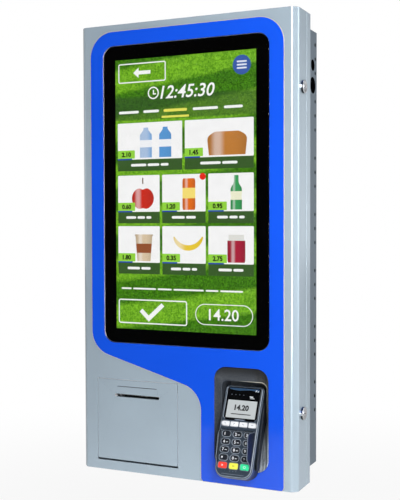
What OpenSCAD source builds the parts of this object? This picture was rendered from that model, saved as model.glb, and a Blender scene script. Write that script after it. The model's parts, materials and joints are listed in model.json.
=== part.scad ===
// Wall-hung self checkout kiosk: a steel door with a portrait display, a receipt
// printer behind a flap and a payment terminal in a pocket, on a shallow cabinet.
// Millimetres. X to the right, Y from the front towards the wall, Z up.
// The origin is the middle of the cabinet's back face.

/* [Door] */
// Width of the door and of the rim behind it
door_w = 455; // [445:1:475]
// Height of the door and of the rim behind it
door_h = 881; // [875:1:940]
// Depth of the door's folded returns
door_d = 54; // [50:1:64]
// Thickness of the door's sheet
door_wall = 2; // [1.5:0.1:2.5]
// Width of the bevel folded along each upright edge
door_bevel = 10; // [5:0.5:14]
// Inside stiffening lip round the door's back
door_lip = 12; // [8:1:14]
// Outer radius of the folds along the door's bevels
fold_r = 8; // [3:0.5:10]
// Gap between the door's returns and the cabinet's rim
seam = 1; // [0.6:0.1:2]

/* [Cabinet] */
// Depth of the rim that the door shuts against
rim_d = 21.4; // [18:0.2:26]
// Width of the rim's front flange
rim_flange = 18; // [15:0.5:20]
// Depth of the cabinet behind the rim
cabinet_d = 90.6; // [86:0.2:130]
// How far the cabinet's sides stand in from the door's
cabinet_inset_x = 15; // [10:0.5:22]
// How far the cabinet's top and bottom stand in from the door's
cabinet_inset_z = 18; // [12:0.5:24]
// Thickness of the cabinet's sheet
cabinet_wall = 1.5; // [1.2:0.1:2]
// Radius of the cabinet's rear folds
cabinet_r = 5; // [3:0.5:10]
// Diameter of the side vent holes
vent_d = 4; // [3:0.1:5]
// Pitch of the side vent holes
vent_pitch = 27.5; // [24:0.1:28.5]
// Groups of three vent holes
vent_groups = 7; // [4:1:7]
// First vent hole below the cabinet's top
vent_down = 25; // [16:1:40]
// Vent holes' distance from the back face
vent_back = 14; // [11:1:18]
// Diameter of the upper cable hole in the side
cable_d_small = 21.7; // [12:0.1:24]
// Diameter of the lower cable hole in the side
cable_d_large = 32; // [20:0.5:34]
// Upper cable hole below the cabinet's top
cable_down = 66; // [60:1:80]
// Distance between the two cable holes
cable_pitch = 38.8; // [36:0.2:48]
// Cable holes' distance from the back face
cable_back = 29; // [28:1:44]
// Sideways pitch of the wall bolts
bolt_pitch_x = 300; // [200:5:340]
// Upright pitch of the wall bolts
bolt_pitch_z = 700; // [640:5:740]
// Diameter of the wall bolt holes
bolt_d = 9; // [6:0.5:11]

/* [Hinge and locks] */
// Length of the piano hinge
hinge_l = 780; // [600:5:820]
// Number of hinge knuckles
hinge_knuckles = 9; // [5:2:13]
// Radius of the hinge knuckles
knuckle_r = 3.2; // [2.8:0.1:4]
// Radius of the hinge pin
hinge_pin_r = 1.5; // [1.2:0.1:1.8]
// Thickness of the hinge leaves
leaf_t = 1.5; // [1:0.1:1.8]
// Width of the hinge leaves
leaf_w = 15; // [12:0.5:17]
// Lock's distance from the door's nearer end
lock_in = 140.5; // [90:0.5:200]
// Lock's distance behind the door's front
lock_back = 32; // [30:0.5:34]
// Radius of the lock's head
lock_head_r = 12; // [11:0.2:14]
// How far the lock's head stands proud
lock_proud = 4.5; // [3:0.1:6]
// Radius of the lock's threaded barrel
barrel_r = 9.5; // [9:0.1:10.5]
// Length of the lock's barrel behind the door's side
barrel_l = 22; // [20:0.5:23]
// Radius of the turning plug
plug_r = 6; // [5:0.1:7]
// Radius at which the lock's hook catches its peg
hook_r = 32; // [31:0.1:33]
// Radius of the striker's peg
peg_r = 3; // [2.5:0.1:3.5]

/* [Surround and display] */
// Thickness of the coloured surround
surround_t = 2; // [1:0.1:3]
// Surround's sides inside the door's
surround_in = 24.5; // [17.5:0.5:32]
// Surround's top edge below the door's top edge
surround_down = 13.5; // [6:0.5:24]
// Radius of the surround's upper corners and of its step
surround_r = 49; // [20:1:60]
// Radius of the surround's lower corners
surround_foot_r = 8; // [2:0.5:14]
// Left edge of the surround's lower leg, right of the door's middle
leg_left = 36; // [10:1:44]
// Left end of the surround's sloping edge, above the door's bottom
step_up = 241; // [228:1:242]
// Slope of that edge
step_slope = 16; // [8:0.5:18]
// Glass's sides inside the door's
glass_in = 53; // [50:0.5:57]
// Glass's bottom edge above the door's bottom edge
glass_up = 256; // [251:1:262]
// Corner radius of the glass
glass_r = 23; // [8:0.5:30]
// Thickness of the glass
glass_t = 4; // [3:0.1:5]
// Glass's top edge below the door's top edge
glass_down = 42; // [36:1:50]
// Gap round the glass and round the terminal pocket
front_gap = 0.4; // [0.2:0.05:0.8]
// Glass's dark border beside the lit area
border_x = 26.25; // [24:0.25:34]
// Glass's dark border above and below the lit area
border_z = 28; // [26:0.5:40]
// Border of the panel round the lit area
panel_border = 8.5; // [6:0.5:10]
// Thickness of the display panel
panel_t = 15; // [10:0.5:20]
// Sheet of the brackets inside the door
bracket_t = 2; // [1.5:0.1:2.5]

/* [Printer flap] */
// Width of the flap
flap_w = 176.4; // [160:0.2:182]
// Height of the flap
flap_h = 159.5; // [152:0.5:161]
// Flap's left edge, right of the door's left edge
flap_in = 36.1; // [34:0.1:40]
// Flap's bottom edge above the door's bottom edge
flap_up = 22; // [20:0.5:24]
// Gap round the flap's top and sides
flap_gap = 1.2; // [1.1:0.1:2]
// Finger gap under the flap
finger_gap = 3.5; // [2:0.1:4]
// Receipt slot's width
slot_w = 99.5; // [84:0.5:104]
// Receipt slot's height
slot_h = 5.8; // [5:0.1:8]
// Receipt slot below the flap's top edge
slot_down = 30.6; // [29:0.2:34]
// Pivot of the flap below its top edge
pivot_down = 14; // [13:0.5:15]
// Pivot of the flap behind the sheet's inner face
pivot_back = 3; // [2.8:0.1:3.4]
// Radius of the flap's pivot pins
pivot_r = 2; // [1.5:0.1:2.2]

/* [Receipt printer] */
// Width of the paper
paper_w = 79.5; // [57:0.5:82]
// Outer radius of the paper roll
roll_r = 38; // [26:0.5:40]
// Radius of the spool inside the roll
spool_r = 8.5; // [7:0.5:12]
// Radius of the spool's end pins
spool_pin_r = 5; // [4:0.1:6]
// Radius of the platen roller
platen_r = 7; // [6:0.1:7.5]
// Radius of the platen's shaft
platen_shaft_r = 3; // [2.5:0.1:3.4]
// Module of the drive gears
gear_module = 0.8; // [0.75:0.01:0.86]
// Teeth of the platen gear
platen_teeth = 32; // [30:2:34]
// Teeth of the motor pinion
pinion_teeth = 14; // [14:1:16]
// Radius of the printer motor
motor_r = 10; // [8:0.2:10.4]

/* [Terminal pocket] */
// Width of the pocket's mouth
pocket_w = 108.5; // [106:0.5:116]
// Height of the pocket's mouth
pocket_h = 192.5; // [188:0.5:196]
// Corner radius of the pocket's mouth
pocket_r = 24; // [10:0.5:30]
// Middle of the pocket, left of the door's right edge
pocket_in = 109; // [106:0.5:112]
// Pocket's mouth above the door's bottom edge
pocket_up = 29.5; // [24:0.5:34]
// Depth of the sloping rim
slope_d = 14; // [8:0.5:20]
// Depth of the pocket behind the door's front
pocket_d = 62; // [58:0.5:70]
// Wall of the pocket
pocket_wall = 2.5; // [1.5:0.1:3]

/* [Payment terminal] */
// Lean of the keypad from upright
keypad_lean = 20; // [16:0.5:23]
// Further lean of the display part
screen_lean = 5.4; // [0:0.2:8]
// Width of the terminal's housing
term_w = 78; // [74:0.5:80]
// Width of the terminal's housing at its foot
term_foot_w = 74; // [68:0.5:78]
// Length of the keypad part
keypad_l = 92; // [90:0.5:98]
// Length of the display part
screen_part_l = 80; // [78:0.5:84]
// Thickness of the terminal at the keypad
term_t = 32; // [28:0.5:34]
// Thickness of the terminal's top shell
cover_t = 14; // [12:0.5:18]
// Radius of the terminal's lower corners
term_foot_r = 19; // [10:0.5:30]
// Width of the card swipe slot
swipe_gap = 1.5; // [1.2:0.1:2.4]
// Pitch of the keypad's columns
key_pitch_x = 22; // [20.5:0.1:22.5]
// Pitch of the keypad's rows
key_pitch_z = 14.5; // [13.5:0.1:14.6]
// Width of a key
key_w = 16; // [12:0.2:17]
// Height of a key
key_h = 9.6; // [8:0.2:11]
// Travel of a key
key_travel = 1.2; // [0.8:0.1:1.6]
// Gap round a key
key_gap = 0.3; // [0.2:0.05:0.5]
// Height of the privacy shield's sides
shield_h = 24; // [12:0.5:26]
// Inward lean of the privacy shield's sides
shield_lean = 12; // [0:1:16]

/* [Hidden] */
key_names = ["key_1", "key_2", "key_3", "key_4", "key_5", "key_6", "key_7", "key_8", "key_9",
             "key_dot", "key_0", "key_star", "key_red", "key_yellow", "key_green"];
soft_names = ["soft_key_1", "soft_key_2", "soft_key_3", "soft_key_4"];
$fn = 48;
eps = 0.01;
running = 0.05;                      // radial clearance of a shaft in its hole

silver = [0.66, 0.70, 0.73];
grey = [0.43, 0.46, 0.49];
blue = [0.10, 0.33, 0.89];
black = [0.05, 0.05, 0.06];
charcoal = [0.20, 0.22, 0.25];
slate = [0.28, 0.33, 0.38];
steel = [0.75, 0.76, 0.78];
white = [0.92, 0.93, 0.94];

// planes of the door and the cabinet
rim_y = -(cabinet_d + rim_d);        // front edge of the rim
door_back = rim_y - seam;            // back edge of the door's returns
front = door_back - door_d;          // front face of the door's sheet
inner = front + door_wall;           // inner face of the door's sheet
cab_w = door_w - 2 * cabinet_inset_x;
cab_h = door_h - 2 * cabinet_inset_z;
bottom = -door_h / 2;
side = door_w / 2;

// display
surround_w = door_w - 2 * surround_in;
glass_w = door_w - 2 * glass_in;
glass_h = door_h - glass_down - glass_up;
glass_z = (glass_up - glass_down) / 2;
screen_w = glass_w - 2 * border_x;
screen_h = glass_h - 2 * border_z;
panel_w = screen_w + 2 * panel_border;
panel_h = screen_h + 2 * panel_border;
frame_lap = 13;                      // glass frame's lap behind the door's sheet
rail_gap = 5;                        // from the glass frame to a rail's leg
rail_in = 82;                        // from the panel's end to a rail's middle
rail_up = panel_h / 2 - rail_in;
rail_h = 30;
rail_foot = 13;
panel_r = 3;
panel_sunk = 0.5;                    // lit face behind the panel's rim
driver = [190, 240, 18];             // box of electronics on the panel's back
driver_r = 6;

// locks, in the upright plane along the door's side
lock_y = front + lock_back;
lock_up = door_h / 2 - lock_in;
lock_round = 1.2;
key_slot = [2, 8, 6];                // slot of the key in the plug's face
nut_r = 15;
nut_t = 4;
tail_w = 8;                          // plug's square tail
tail_l = 3;
barrel_gap = 0.1;
hub_r = 9;
cam_t = 2.5;
cam_gap = 0.3;
cam_x = side - barrel_l - cam_gap - cam_t;
hook_slot = 4;                       // half width of the hook's slot
hook_rim = 5;
striker_h = 32;
striker_foot = 14;

// hinge
hinge_x = -side - knuckle_r - 0.3;
hinge_y = rim_y - seam / 2;
knuckle_gap = 0.6;
knuckle_pitch = hinge_l / hinge_knuckles;

// cabinet contents, each closed unit as [width, depth, height]
wall_hole = [90, 50, 8];             // cable opening in the back, with its corner radius
wall_hole_up = 160;
inlet_x = 120;
inlet_back = 40;
inlet_body = [28, 20];
inlet_deep = 24;
inlet_flange = [48, 30, 4];
inlet_lip = 2;
psu = [98, 38, 200];
psu_x = -10;
psu_z = -90;
psu_wall = 1.2;
computer = [190, 26, 180];
computer_z = 150;
computer_wall = 3;
fins = 16;
fin_t = 3;
fin_d = 14;

// flap
flap_x = -side + flap_in + flap_w / 2;
flap_r = 1.5;
slot_r = 2.4;
groove = [88, 1.6];                  // pressed line above the slot
groove_down = 12.8;
bezel_lap = 6;                       // bezel's lap beside the slot
bezel_h = 16;
bezel_d = 11;
bracket_gap = 1.5;
bracket_foot = 12;
catch_w = 36;
catch_d = 12;
catch_t = 1.5;
flap_z = bottom + flap_up + flap_h / 2;
flap_top = flap_z + flap_h / 2;
flap_bottom = flap_z - flap_h / 2;
slot_z = flap_top - slot_down;
pivot_y = inner + pivot_back;
pivot_z = flap_top - pivot_down;
ear_in = 3;                          // ear's distance from the flap's edge
ear_t = 1.5;
ear_d = 10;
opening_left = flap_x - flap_w / 2 - flap_gap;
opening_right = flap_x + flap_w / 2 + flap_gap;

// printer
paper_t = 0.3;
soft_gap = 0.3;
paper_z = slot_z - 1.2;              // underside of the paper at the print head
platen_y = inner + 30;
platen_z = paper_z - soft_gap - platen_r;
roll_y = platen_y + 30;
roll_z = platen_z - platen_r - roll_r - 13;
paper_bend = 20;
paper_front = inner + 13;
plate_in = paper_w / 2 + 2.5;        // inner face of a chassis side plate
chassis_front = inner + 15;
chassis_back = roll_y + roll_r + 5;
chassis_top = paper_z + 14;
chassis_flange = 9;
chassis_tab = 40;
chassis_lip = 24;
chassis_cut = 26;                    // slanted upper rear corner of a side
chassis_cut_r = 12;
head_pin_y = platen_y + 12;
head_pin_z = paper_z + 8;
head_pin_r = 2;
head_reach = 15;                     // print head behind the platen's axis
head_h = 12;
shelf_z = roll_z - roll_r - 8;
gear_x = flap_x - plate_in - bracket_t - 1.5;
gear_w = 5;
gear_reach = gear_module * (platen_teeth + pinion_teeth) / 2;
pinion_dir = [-0.2169, -0.9762];
pinion_y = platen_y + gear_reach * pinion_dir.x;
pinion_z = platen_z + gear_reach * pinion_dir.y;
motor_l = 24;
motor_shaft_r = 1.25;

// pocket
pocket_right = side - pocket_in;
pocket_z = bottom + pocket_up + pocket_h / 2;
mouth_y = front - surround_t;        // the pocket's lip is flush with the surround
hole_w = 92;
hole_top = 27.5;                     // slope's height above the inner hole
hole_foot = 11.5;
hole_r = 12;
hole_slant = 18;                     // how far the hole's right side slants in at its foot
hole_slant_up = 84;                  // where that begins above the hole's foot
hole_bend_r = 40;
hole_h = pocket_h - hole_top - hole_foot;
hole_z = pocket_z + (hole_foot - hole_top) / 2;
pocket_back = front + pocket_d;
pocket_lap = 12;                     // tray's flange behind the door's sheet
pocket_lip = 1.5;
gland_r = 9;                         // hole for the terminal's cable
gland_down = 24;

// terminal: u runs up the keypad from the bend line and n stands out of it
term_x = pocket_right - 2.7;
bend_y = front - 8.4;
bend_z = pocket_z - 14.5;
term_top_r = 8;
edge_r = 2.5;                        // bevel round the cover's upper edge
foot_reach = keypad_l;
top_reach = screen_part_l * cos(screen_lean);
top_drop = screen_part_l * sin(screen_lean);
rail_w = 2.8;
rail_foot_u = 72;
rail_top_u = 52;
rail_low = 8;                        // the rail's edge below the keypad
rail_deep = term_t - 9.5;            // its back edge, clear of the pocket's slanted side
key_row_u = 12.3;
key_r = 4.2;
soft_r = 2;
colour_r = 2.8;
key_rise = 1.4;
key_deep = 3;
colour_u = 70;
colour_w = 17;
colour_h = 11;
soft_u = 6.5;
soft_pitch = 18;
soft_w = 15.6;
soft_h = 9;
lens_w = 67;
lens_l = 61;
lens_u = 47;
lens_t = 2.6;
shield_x = 33.8;                     // middle of a side's foot
shield_t = 1.6;
shield_top_u = -5.2;
shield_foot_u = -73;
shield_nose_u = shield_foot_u + 6;   // the wing rises in two steps from its foot
shield_step_u = shield_foot_u + 15;
shield_brow_u = shield_foot_u + 33;
shield_brow_r = 30;
chip_slot = [56, 24, 1.6];
cradle_w = 46;
cradle_top_u = 44;
cradle_foot_u = -58;
cradle_up = 4;
cradle_nose = 20;

// ---- outlines ----

// rounded rectangle about the origin
module rrect(w, h, r) {
    square([w - 2 * r, h], center = true);
    square([w, h - 2 * r], center = true);
    for (sx = [-1, 1], sy = [-1, 1]) translate([sx * (w / 2 - r), sy * (h / 2 - r)]) circle(r);
}

function unit(v) = v / norm(v);

// points of an arc of radius r that rounds the corner b between a and c
function fillet(a, b, c, r, steps = 10) =
    let (u = unit(a - b), v = unit(c - b), half = acos(u * v) / 2,
         centre = b + unit(u + v) * r / sin(half),
         p = b + u * r / tan(half) - centre, q = b + v * r / tan(half) - centre,
         start = atan2(p.y, p.x),
         full = 360,
         turn = (atan2(q.y, q.x) - start + 1.5 * full) % full - full / 2)
    [for (i = [0 : steps])
        centre + r * [cos(start + turn * i / steps), sin(start + turn * i / steps)]];

// a polygon's points with each corner rounded by its own radius, 0 for a sharp one
function rounded(pts, radii) =
    let (n = len(pts))
    [for (i = [0 : n - 1])
        each (radii[i] > 0 ? fillet(pts[(i + n - 1) % n], pts[i], pts[(i + 1) % n], radii[i])
                           : [pts[i]])];

// ---- placing an outline ----

// an outline in X and Z, from y to y + t
module facing(y, t) translate([0, y + t, 0]) rotate([90, 0, 0]) linear_extrude(t) children();

// an outline in Y and Z, from x to x + t
module along(x, t) translate([x, 0, 0]) rotate([90, 0, 90]) linear_extrude(t) children();

// a block between two corners
module block(a, b) translate(a) cube(b - a);

// a bar along X between two places, centred at y and z
module bar(x0, x1, y, z, r) translate([x0, y, z]) rotate([0, 90, 0]) cylinder(x1 - x0, r, r);

// ---- door ----

// plan of the door with its bevelled upright edges, standing in by a distance
function door_plan(inset) =
    let (k = inset * tan(22.5), x = side - inset, y = front + door_bevel + k,
         bx = side - door_bevel - k, by = front + inset, r = fold_r - inset)
    rounded([[-x, door_back], [-x, y], [-bx, by], [bx, by], [x, y], [x, door_back]],
            [0, r, r, r, r, 0]);

module glass_outline(grow = 0)
    translate([0, glass_z]) rrect(glass_w + 2 * grow, glass_h + 2 * grow, glass_r + grow);

module pocket_outline(grow = 0)
    translate([pocket_right, pocket_z])
        rrect(pocket_w + 2 * grow, pocket_h + 2 * grow, pocket_r + grow);

module flap_opening()
    translate([opening_left, flap_bottom - finger_gap])
        square([opening_right - opening_left, flap_h + flap_gap + finger_gap]);

// relief along the hinge side for the leaves, between two planes
module hinge_relief(y0, y1)
    block([-side - 1, y0, -hinge_l / 2 - 1], [-side + door_wall + 1, y1, hinge_l / 2 + 1]);

module front_door() color(silver) difference() {
    union() {
        difference() {
            translate([0, 0, bottom]) linear_extrude(door_h) polygon(door_plan(0));
            translate([0, 0, bottom + door_wall]) linear_extrude(door_h - 2 * door_wall)
                union() {
                    polygon(door_plan(door_wall));
                    translate([-side + door_wall, door_back - eps])
                        square([door_w - 2 * door_wall, 1]);
                }
        }
        facing(door_back - leaf_t - door_wall, door_wall) difference() {
            square([door_w - door_wall, door_h - door_wall], center = true);
            square([door_w - 2 * (door_wall + door_lip), door_h - 2 * (door_wall + door_lip)],
                   center = true);
        }
    }
    facing(front - 1, door_wall + 2) {
        glass_outline(front_gap);
        pocket_outline(front_gap);
        flap_opening();
    }
    for (s = [-1, 1])
        bar(side - door_wall - 1, side + 1, lock_y, s * lock_up, barrel_r + barrel_gap);
    hinge_relief(door_back - leaf_t, door_back + 1);
}

module surround_outline() {
    x = surround_w / 2;
    left_z = bottom + step_up;
    right_z = left_z - (x + leg_left) * tan(step_slope);
    polygon(rounded([[-x, door_h / 2 - surround_down], [x, door_h / 2 - surround_down],
                     [x, bottom], [leg_left, bottom], [leg_left, right_z], [-x, left_z]],
                    [surround_r, surround_r, surround_foot_r, surround_foot_r,
                     surround_r, surround_r]));
}

module blue_surround() color(blue) facing(front - surround_t, surround_t) difference() {
    surround_outline();
    glass_outline(front_gap);
    pocket_outline(front_gap);
}

// ---- display ----

module screen_glass() color(black) facing(inner - glass_t, glass_t) glass_outline();

module glass_frame() color(steel) facing(inner, bracket_t) difference() {
    glass_outline(frame_lap);
    translate([0, glass_z]) square([panel_w + 1, panel_h + 1], center = true);
}

module display_panel() color(charcoal) translate([0, 0, glass_z]) {
    difference() {
        facing(inner, panel_t) rrect(panel_w, panel_h, panel_r);
        facing(inner - 1, 1 + panel_sunk) square([screen_w, screen_h], center = true);
    }
    facing(inner + panel_t, driver.z) rrect(driver.x, driver.y, driver_r);
}

module display_rails() color(steel) for (s = [-1, 1]) translate([0, 0, glass_z + s * rail_up]) {
    leg = glass_w / 2 + frame_lap + rail_gap;
    reach = inner + panel_t + bracket_t;
    translate([0, 0, -rail_h / 2]) linear_extrude(rail_h) difference() {
        union() {
            translate([-leg, inner]) square([2 * leg, reach - inner]);
            translate([-leg - rail_foot, inner]) square([2 * (leg + rail_foot), bracket_t]);
        }
        translate([-leg + bracket_t, inner - 1])
            square([2 * (leg - bracket_t), reach - inner - bracket_t + 1]);
    }
}

// ---- locks ----

// an outline about a lock's axis, from x to x + t
module at_lock(s, x, t) translate([0, lock_y, s * lock_up]) along(x, t) children();

module lock_barrel(s) color(steel) translate([side, lock_y, s * lock_up]) rotate([0, 90, 0])
    rotate_extrude() {
        bore = plug_r + running;
        translate([bore, -barrel_l]) square([barrel_r - bore, barrel_l + eps]);
        polygon([[bore, 0], [lock_head_r, 0], [lock_head_r, lock_proud - lock_round],
                 [lock_head_r - lock_round, lock_proud], [bore, lock_proud]]);
    }

module lock_nuts() color(steel) for (s = [-1, 1]) at_lock(s, side - door_wall - nut_t, nut_t)
    difference() {
        circle(r = nut_r, $fn = 6);
        circle(r = barrel_r);
    }

module lock_plug(s) color(steel) {
    tail = cam_x - tail_l;
    difference() {
        bar(side - barrel_l, side + lock_proud, lock_y, s * lock_up, plug_r);
        at_lock(s, side + lock_proud - key_slot.z, key_slot.z + 1)
            square([key_slot.y, key_slot.x], center = true);
    }
    at_lock(s, tail, side - barrel_l - tail) square(tail_w, center = true);
}

// the hook as it stands locked, its open end turned down
module hook() {
    tip = hook_r + hook_slot + hook_rim;
    difference() {
        union() {
            circle(hub_r);
            intersection() {
                circle(tip);
                polygon([[0, 0], 2 * tip * [cos(-12), sin(-12)], 2 * tip * [cos(34), sin(34)]]);
            }
        }
        intersection() {
            difference() {
                circle(hook_r + hook_slot);
                circle(hook_r - hook_slot);
            }
            polygon([[0, 0], 2 * tip * [cos(-20), sin(-20)], 2 * tip * [cos(13), sin(13)]]);
        }
        square(tail_w, center = true);
    }
}

module lock_cam(s) color(steel) at_lock(s, cam_x, cam_t) rotate(90) hook();

module lock_strikers() color(steel) for (s = [-1, 1]) translate([0, 0, s * lock_up]) {
    wall_x = side - rim_flange - bracket_t;
    rear = rim_y + leaf_t;
    half = striker_h / 2;
    block([wall_x, rear, -half], [wall_x + bracket_t, lock_y + hook_r + 8, half]);
    block([wall_x, rear + cabinet_wall, -half],
          [wall_x + striker_foot, rear + cabinet_wall + bracket_t, half]);
    bar(cam_x - 1, wall_x + eps, lock_y + hook_r, 0, peg_r);
}

// ---- hinge ----

module knuckles(first) for (i = [first : 2 : hinge_knuckles - 1])
    translate([hinge_x, hinge_y, -hinge_l / 2 + i * knuckle_pitch + knuckle_gap / 2])
        cylinder(knuckle_pitch - knuckle_gap, knuckle_r, knuckle_r);

module leaf(first, y) {
    near = hinge_x + knuckle_r + 0.4;
    difference() {
        union() {
            knuckles(first);
            block([near, y, -hinge_l / 2], [-side + leaf_w, y + leaf_t, hinge_l / 2]);
            for (i = [first : 2 : hinge_knuckles - 1])
                translate([0, 0, -hinge_l / 2 + i * knuckle_pitch])
                    block([hinge_x, y, knuckle_gap / 2],
                          [near + eps, y + leaf_t, knuckle_pitch - knuckle_gap / 2]);
        }
        translate([hinge_x, hinge_y, -hinge_l / 2 - 1])
            cylinder(hinge_l + 2, hinge_pin_r + running, hinge_pin_r + running);
    }
}

module hinge_cabinet_leaf() color(steel) leaf(0, rim_y);

module hinge_door_leaf() color(steel) leaf(1, door_back - leaf_t);

module hinge_pin() color(steel) translate([hinge_x, hinge_y, 0]) {
    translate([0, 0, -hinge_l / 2 - 1.5]) cylinder(hinge_l + 3, hinge_pin_r, hinge_pin_r);
    for (s = [-1, 1]) translate([0, 0, s * (hinge_l / 2 + 0.75)])
        cylinder(1.5, knuckle_r - 0.6, knuckle_r - 0.6, center = true);
}

// ---- cabinet ----

module ring(w, h, lap) difference() {
    square([w, h], center = true);
    square([w - 2 * lap, h - 2 * lap], center = true);
}

module cabinet_rim() color(silver) difference() {
    union() {
        facing(rim_y, rim_d) ring(door_w, door_h, cabinet_wall);
        facing(rim_y + leaf_t, cabinet_wall) ring(door_w, door_h, rim_flange);
        facing(-cabinet_d - cabinet_wall, cabinet_wall) difference() {
            square([door_w, door_h], center = true);
            square([cab_w - 2 * cabinet_wall, cab_h - 2 * cabinet_wall], center = true);
        }
    }
    hinge_relief(rim_y - 1, rim_y + leaf_t);
}

// outline of the cabinet across one way, rounded at its back
function case_outline(half, r, back) =
    rounded([[-half, -cabinet_d - 1], [half, -cabinet_d - 1], [half, back], [-half, back]],
            [0, 0, r, r]);

module case_solid(inset) {
    r = cabinet_r - inset;
    intersection() {
        translate([0, 0, -cab_h / 2 + inset]) linear_extrude(cab_h - 2 * inset)
            polygon(case_outline(cab_w / 2 - inset, r, -inset));
        along(-cab_w / 2 + inset, cab_w - 2 * inset)
            polygon([for (p = case_outline(cab_h / 2 - inset, r, -inset)) [p.y, p.x]]);
    }
}

module rear_cabinet() color(grey) {
    top = cab_h / 2;
    difference() {
        case_solid(0);
        case_solid(cabinet_wall);
        block([-side, -cabinet_d - 2, -door_h], [side, -cabinet_d, door_h]);
        for (g = [0 : vent_groups - 1], i = [0 : 2])
            bar(-side, side, -vent_back, top - vent_down - (4 * g + i) * vent_pitch, vent_d / 2);
        bar(0, side, -cable_back, top - cable_down, cable_d_small / 2);
        bar(0, side, -cable_back, top - cable_down - cable_pitch, cable_d_large / 2);
        facing(-10, 20) {
            for (sx = [-1, 1], sz = [-1, 1])
                translate([sx * bolt_pitch_x / 2, sz * bolt_pitch_z / 2]) circle(bolt_d / 2);
            translate([0, -top + wall_hole_up]) rrect(wall_hole.x, wall_hole.y, wall_hole.z);
        }
        translate([inlet_x, -inlet_back, -top - 1]) linear_extrude(cabinet_wall + 2)
            square(inlet_body, center = true);
    }
}

// ---- cabinet contents ----

module power_inlet() color(black) translate([inlet_x, -inlet_back, -cab_h / 2]) {
    difference() {
        union() {
            translate([0, 0, -inlet_lip]) linear_extrude(inlet_lip)
                rrect(inlet_flange.x, inlet_flange.y, inlet_flange.z);
            linear_extrude(inlet_deep) square(inlet_body - [0.2, 0.2], center = true);
        }
        translate([0, 0, -3]) linear_extrude(20)
            polygon(rounded([[-12, -8], [12, -8], [12, 3], [7, 8], [-7, 8], [-12, 3]],
                            [1, 1, 1, 1, 1, 1]));
        for (s = [-1, 1]) translate([s * 20, 0, -3]) cylinder(4, 1.7, 1.7);
    }
    for (x = [-7, 0, 7]) translate([x - 1, x == 0 ? -2 : 0, 7]) cube([2, 4, 12]);
}

// a vented shell, open against the cabinet's back
module power_supply() color(steel) translate([psu_x, -cabinet_wall, psu_z]) difference() {
    block([-psu.x / 2, -psu.y, -psu.z / 2], [psu.x / 2, 0, psu.z / 2]);
    block([-psu.x / 2 + psu_wall, -psu.y + psu_wall, -psu.z / 2 + psu_wall],
          [psu.x / 2 - psu_wall, 1, psu.z / 2 - psu_wall]);
    facing(-psu.y - 1, psu_wall + 2)
        for (i = [-4 : 4], j = [-1, 1]) translate([j * 21, i * 18]) rrect(30, 5, slot_r);
}

// a closed case with cooling fins, and its sockets underneath
module kiosk_computer() color(charcoal) translate([0, -cabinet_wall, computer_z]) {
    half = [computer.x / 2, computer.y / 2, computer.z / 2];
    difference() {
        union() {
            block([-half.x, -computer.y, -half.z], [half.x, 0, half.z]);
            for (i = [0 : fins - 1])
                translate([-half.x + i * (computer.x - fin_t) / (fins - 1), 0, 0])
                    block([0, -computer.y - fin_d, -half.z + 2 * fin_t],
                          [fin_t, -computer.y + eps, half.z - 2 * fin_t]);
        }
        block([-half.x + computer_wall, -computer.y + computer_wall, -half.z + computer_wall],
              [half.x - computer_wall, 1, half.z - computer_wall]);
        for (i = [-2 : 2]) translate([i * 26, -half.y, -half.z - 1])
            linear_extrude(computer_wall + 2) square([i % 2 == 0 ? 15 : 11, 9], center = true);
    }
}

// ---- printer flap ----

module printer_flap() color(silver) difference() {
    union() {
        facing(front, door_wall) translate([flap_x, flap_z]) rrect(flap_w, flap_h, flap_r);
        for (s = [-1, 1]) translate([flap_x + s * (flap_w / 2 - ear_in - ear_t / 2), 0, 0])
            along(-ear_t / 2, ear_t)
                polygon(rounded([[inner - eps, flap_bottom + 6], [inner - eps, flap_top - 3],
                                 [inner + ear_d - 2, flap_top - 8],
                                 [inner + ear_d, pivot_z - 8], [inner + ear_d, flap_bottom + 10]],
                                [0, 0, 2, 4, 4]));
    }
    facing(front - 1, door_wall + 2) translate([flap_x, slot_z]) rrect(slot_w, slot_h, slot_r);
    facing(front - 1, 1.5) translate([flap_x, flap_top - groove_down])
        rrect(groove.x, groove.y, groove.y / 2 - eps);
    bar(flap_x - flap_w / 2, flap_x + flap_w / 2, pivot_y, pivot_z, pivot_r + running);
}

module slot_bezel() color(steel) difference() {
    facing(inner, bezel_d) translate([flap_x, slot_z]) rrect(slot_w + 2 * bezel_lap, bezel_h, 3);
    facing(inner - 1, bezel_d + 2) translate([flap_x, slot_z]) rrect(slot_w, slot_h, slot_r);
    along(flap_x - slot_w / 2 + 3, slot_w - 6)
        polygon([[inner + 4, slot_z], [inner + bezel_d + 1, slot_z - 6],
                 [inner + bezel_d + 1, slot_z + 6]]);
}

module flap_brackets() color(steel) for (s = [-1, 1]) {
    edge = (s < 0 ? opening_left : opening_right) + s * bracket_gap;
    ear = flap_x + s * (flap_w / 2 - ear_in - ear_t);
    outer = edge + s * bracket_foot;
    low = pivot_z - 9;
    high = pivot_z + 6;
    block([min(edge, edge + s * bracket_t), inner, low],
          [max(edge, edge + s * bracket_t), pivot_y + 8, high]);
    block([min(edge, outer), inner, low], [max(edge, outer), inner + bracket_t, high]);
    bar(min(edge, ear - s), max(edge, ear - s), pivot_y, pivot_z, pivot_r);
}

module magnetic_catch() color(charcoal) {
    top = flap_bottom - finger_gap - catch_t;
    half = catch_w / 2;
    block([flap_x - half, inner, bottom + door_wall + 1], [flap_x + half, inner + catch_t, top]);
    block([flap_x - half, inner, top - catch_t], [flap_x + half, inner + catch_d, top]);
    block([flap_x - half + 4, inner + soft_gap, top - eps],
          [flap_x + half - 4, inner + catch_d, top + 16]);
}

// ---- receipt printer ----

// the swing of a spool pin from the front into its seat
module spool_way() {
    rise = 8;
    r = spool_pin_r + running;
    translate([roll_y, roll_z]) {
        circle(r);
        translate([-r, 0]) square([2 * r, rise]);
        translate([0, rise]) circle(r);
        translate([-100, rise - r]) square([100, 2 * r]);
    }
}

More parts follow.
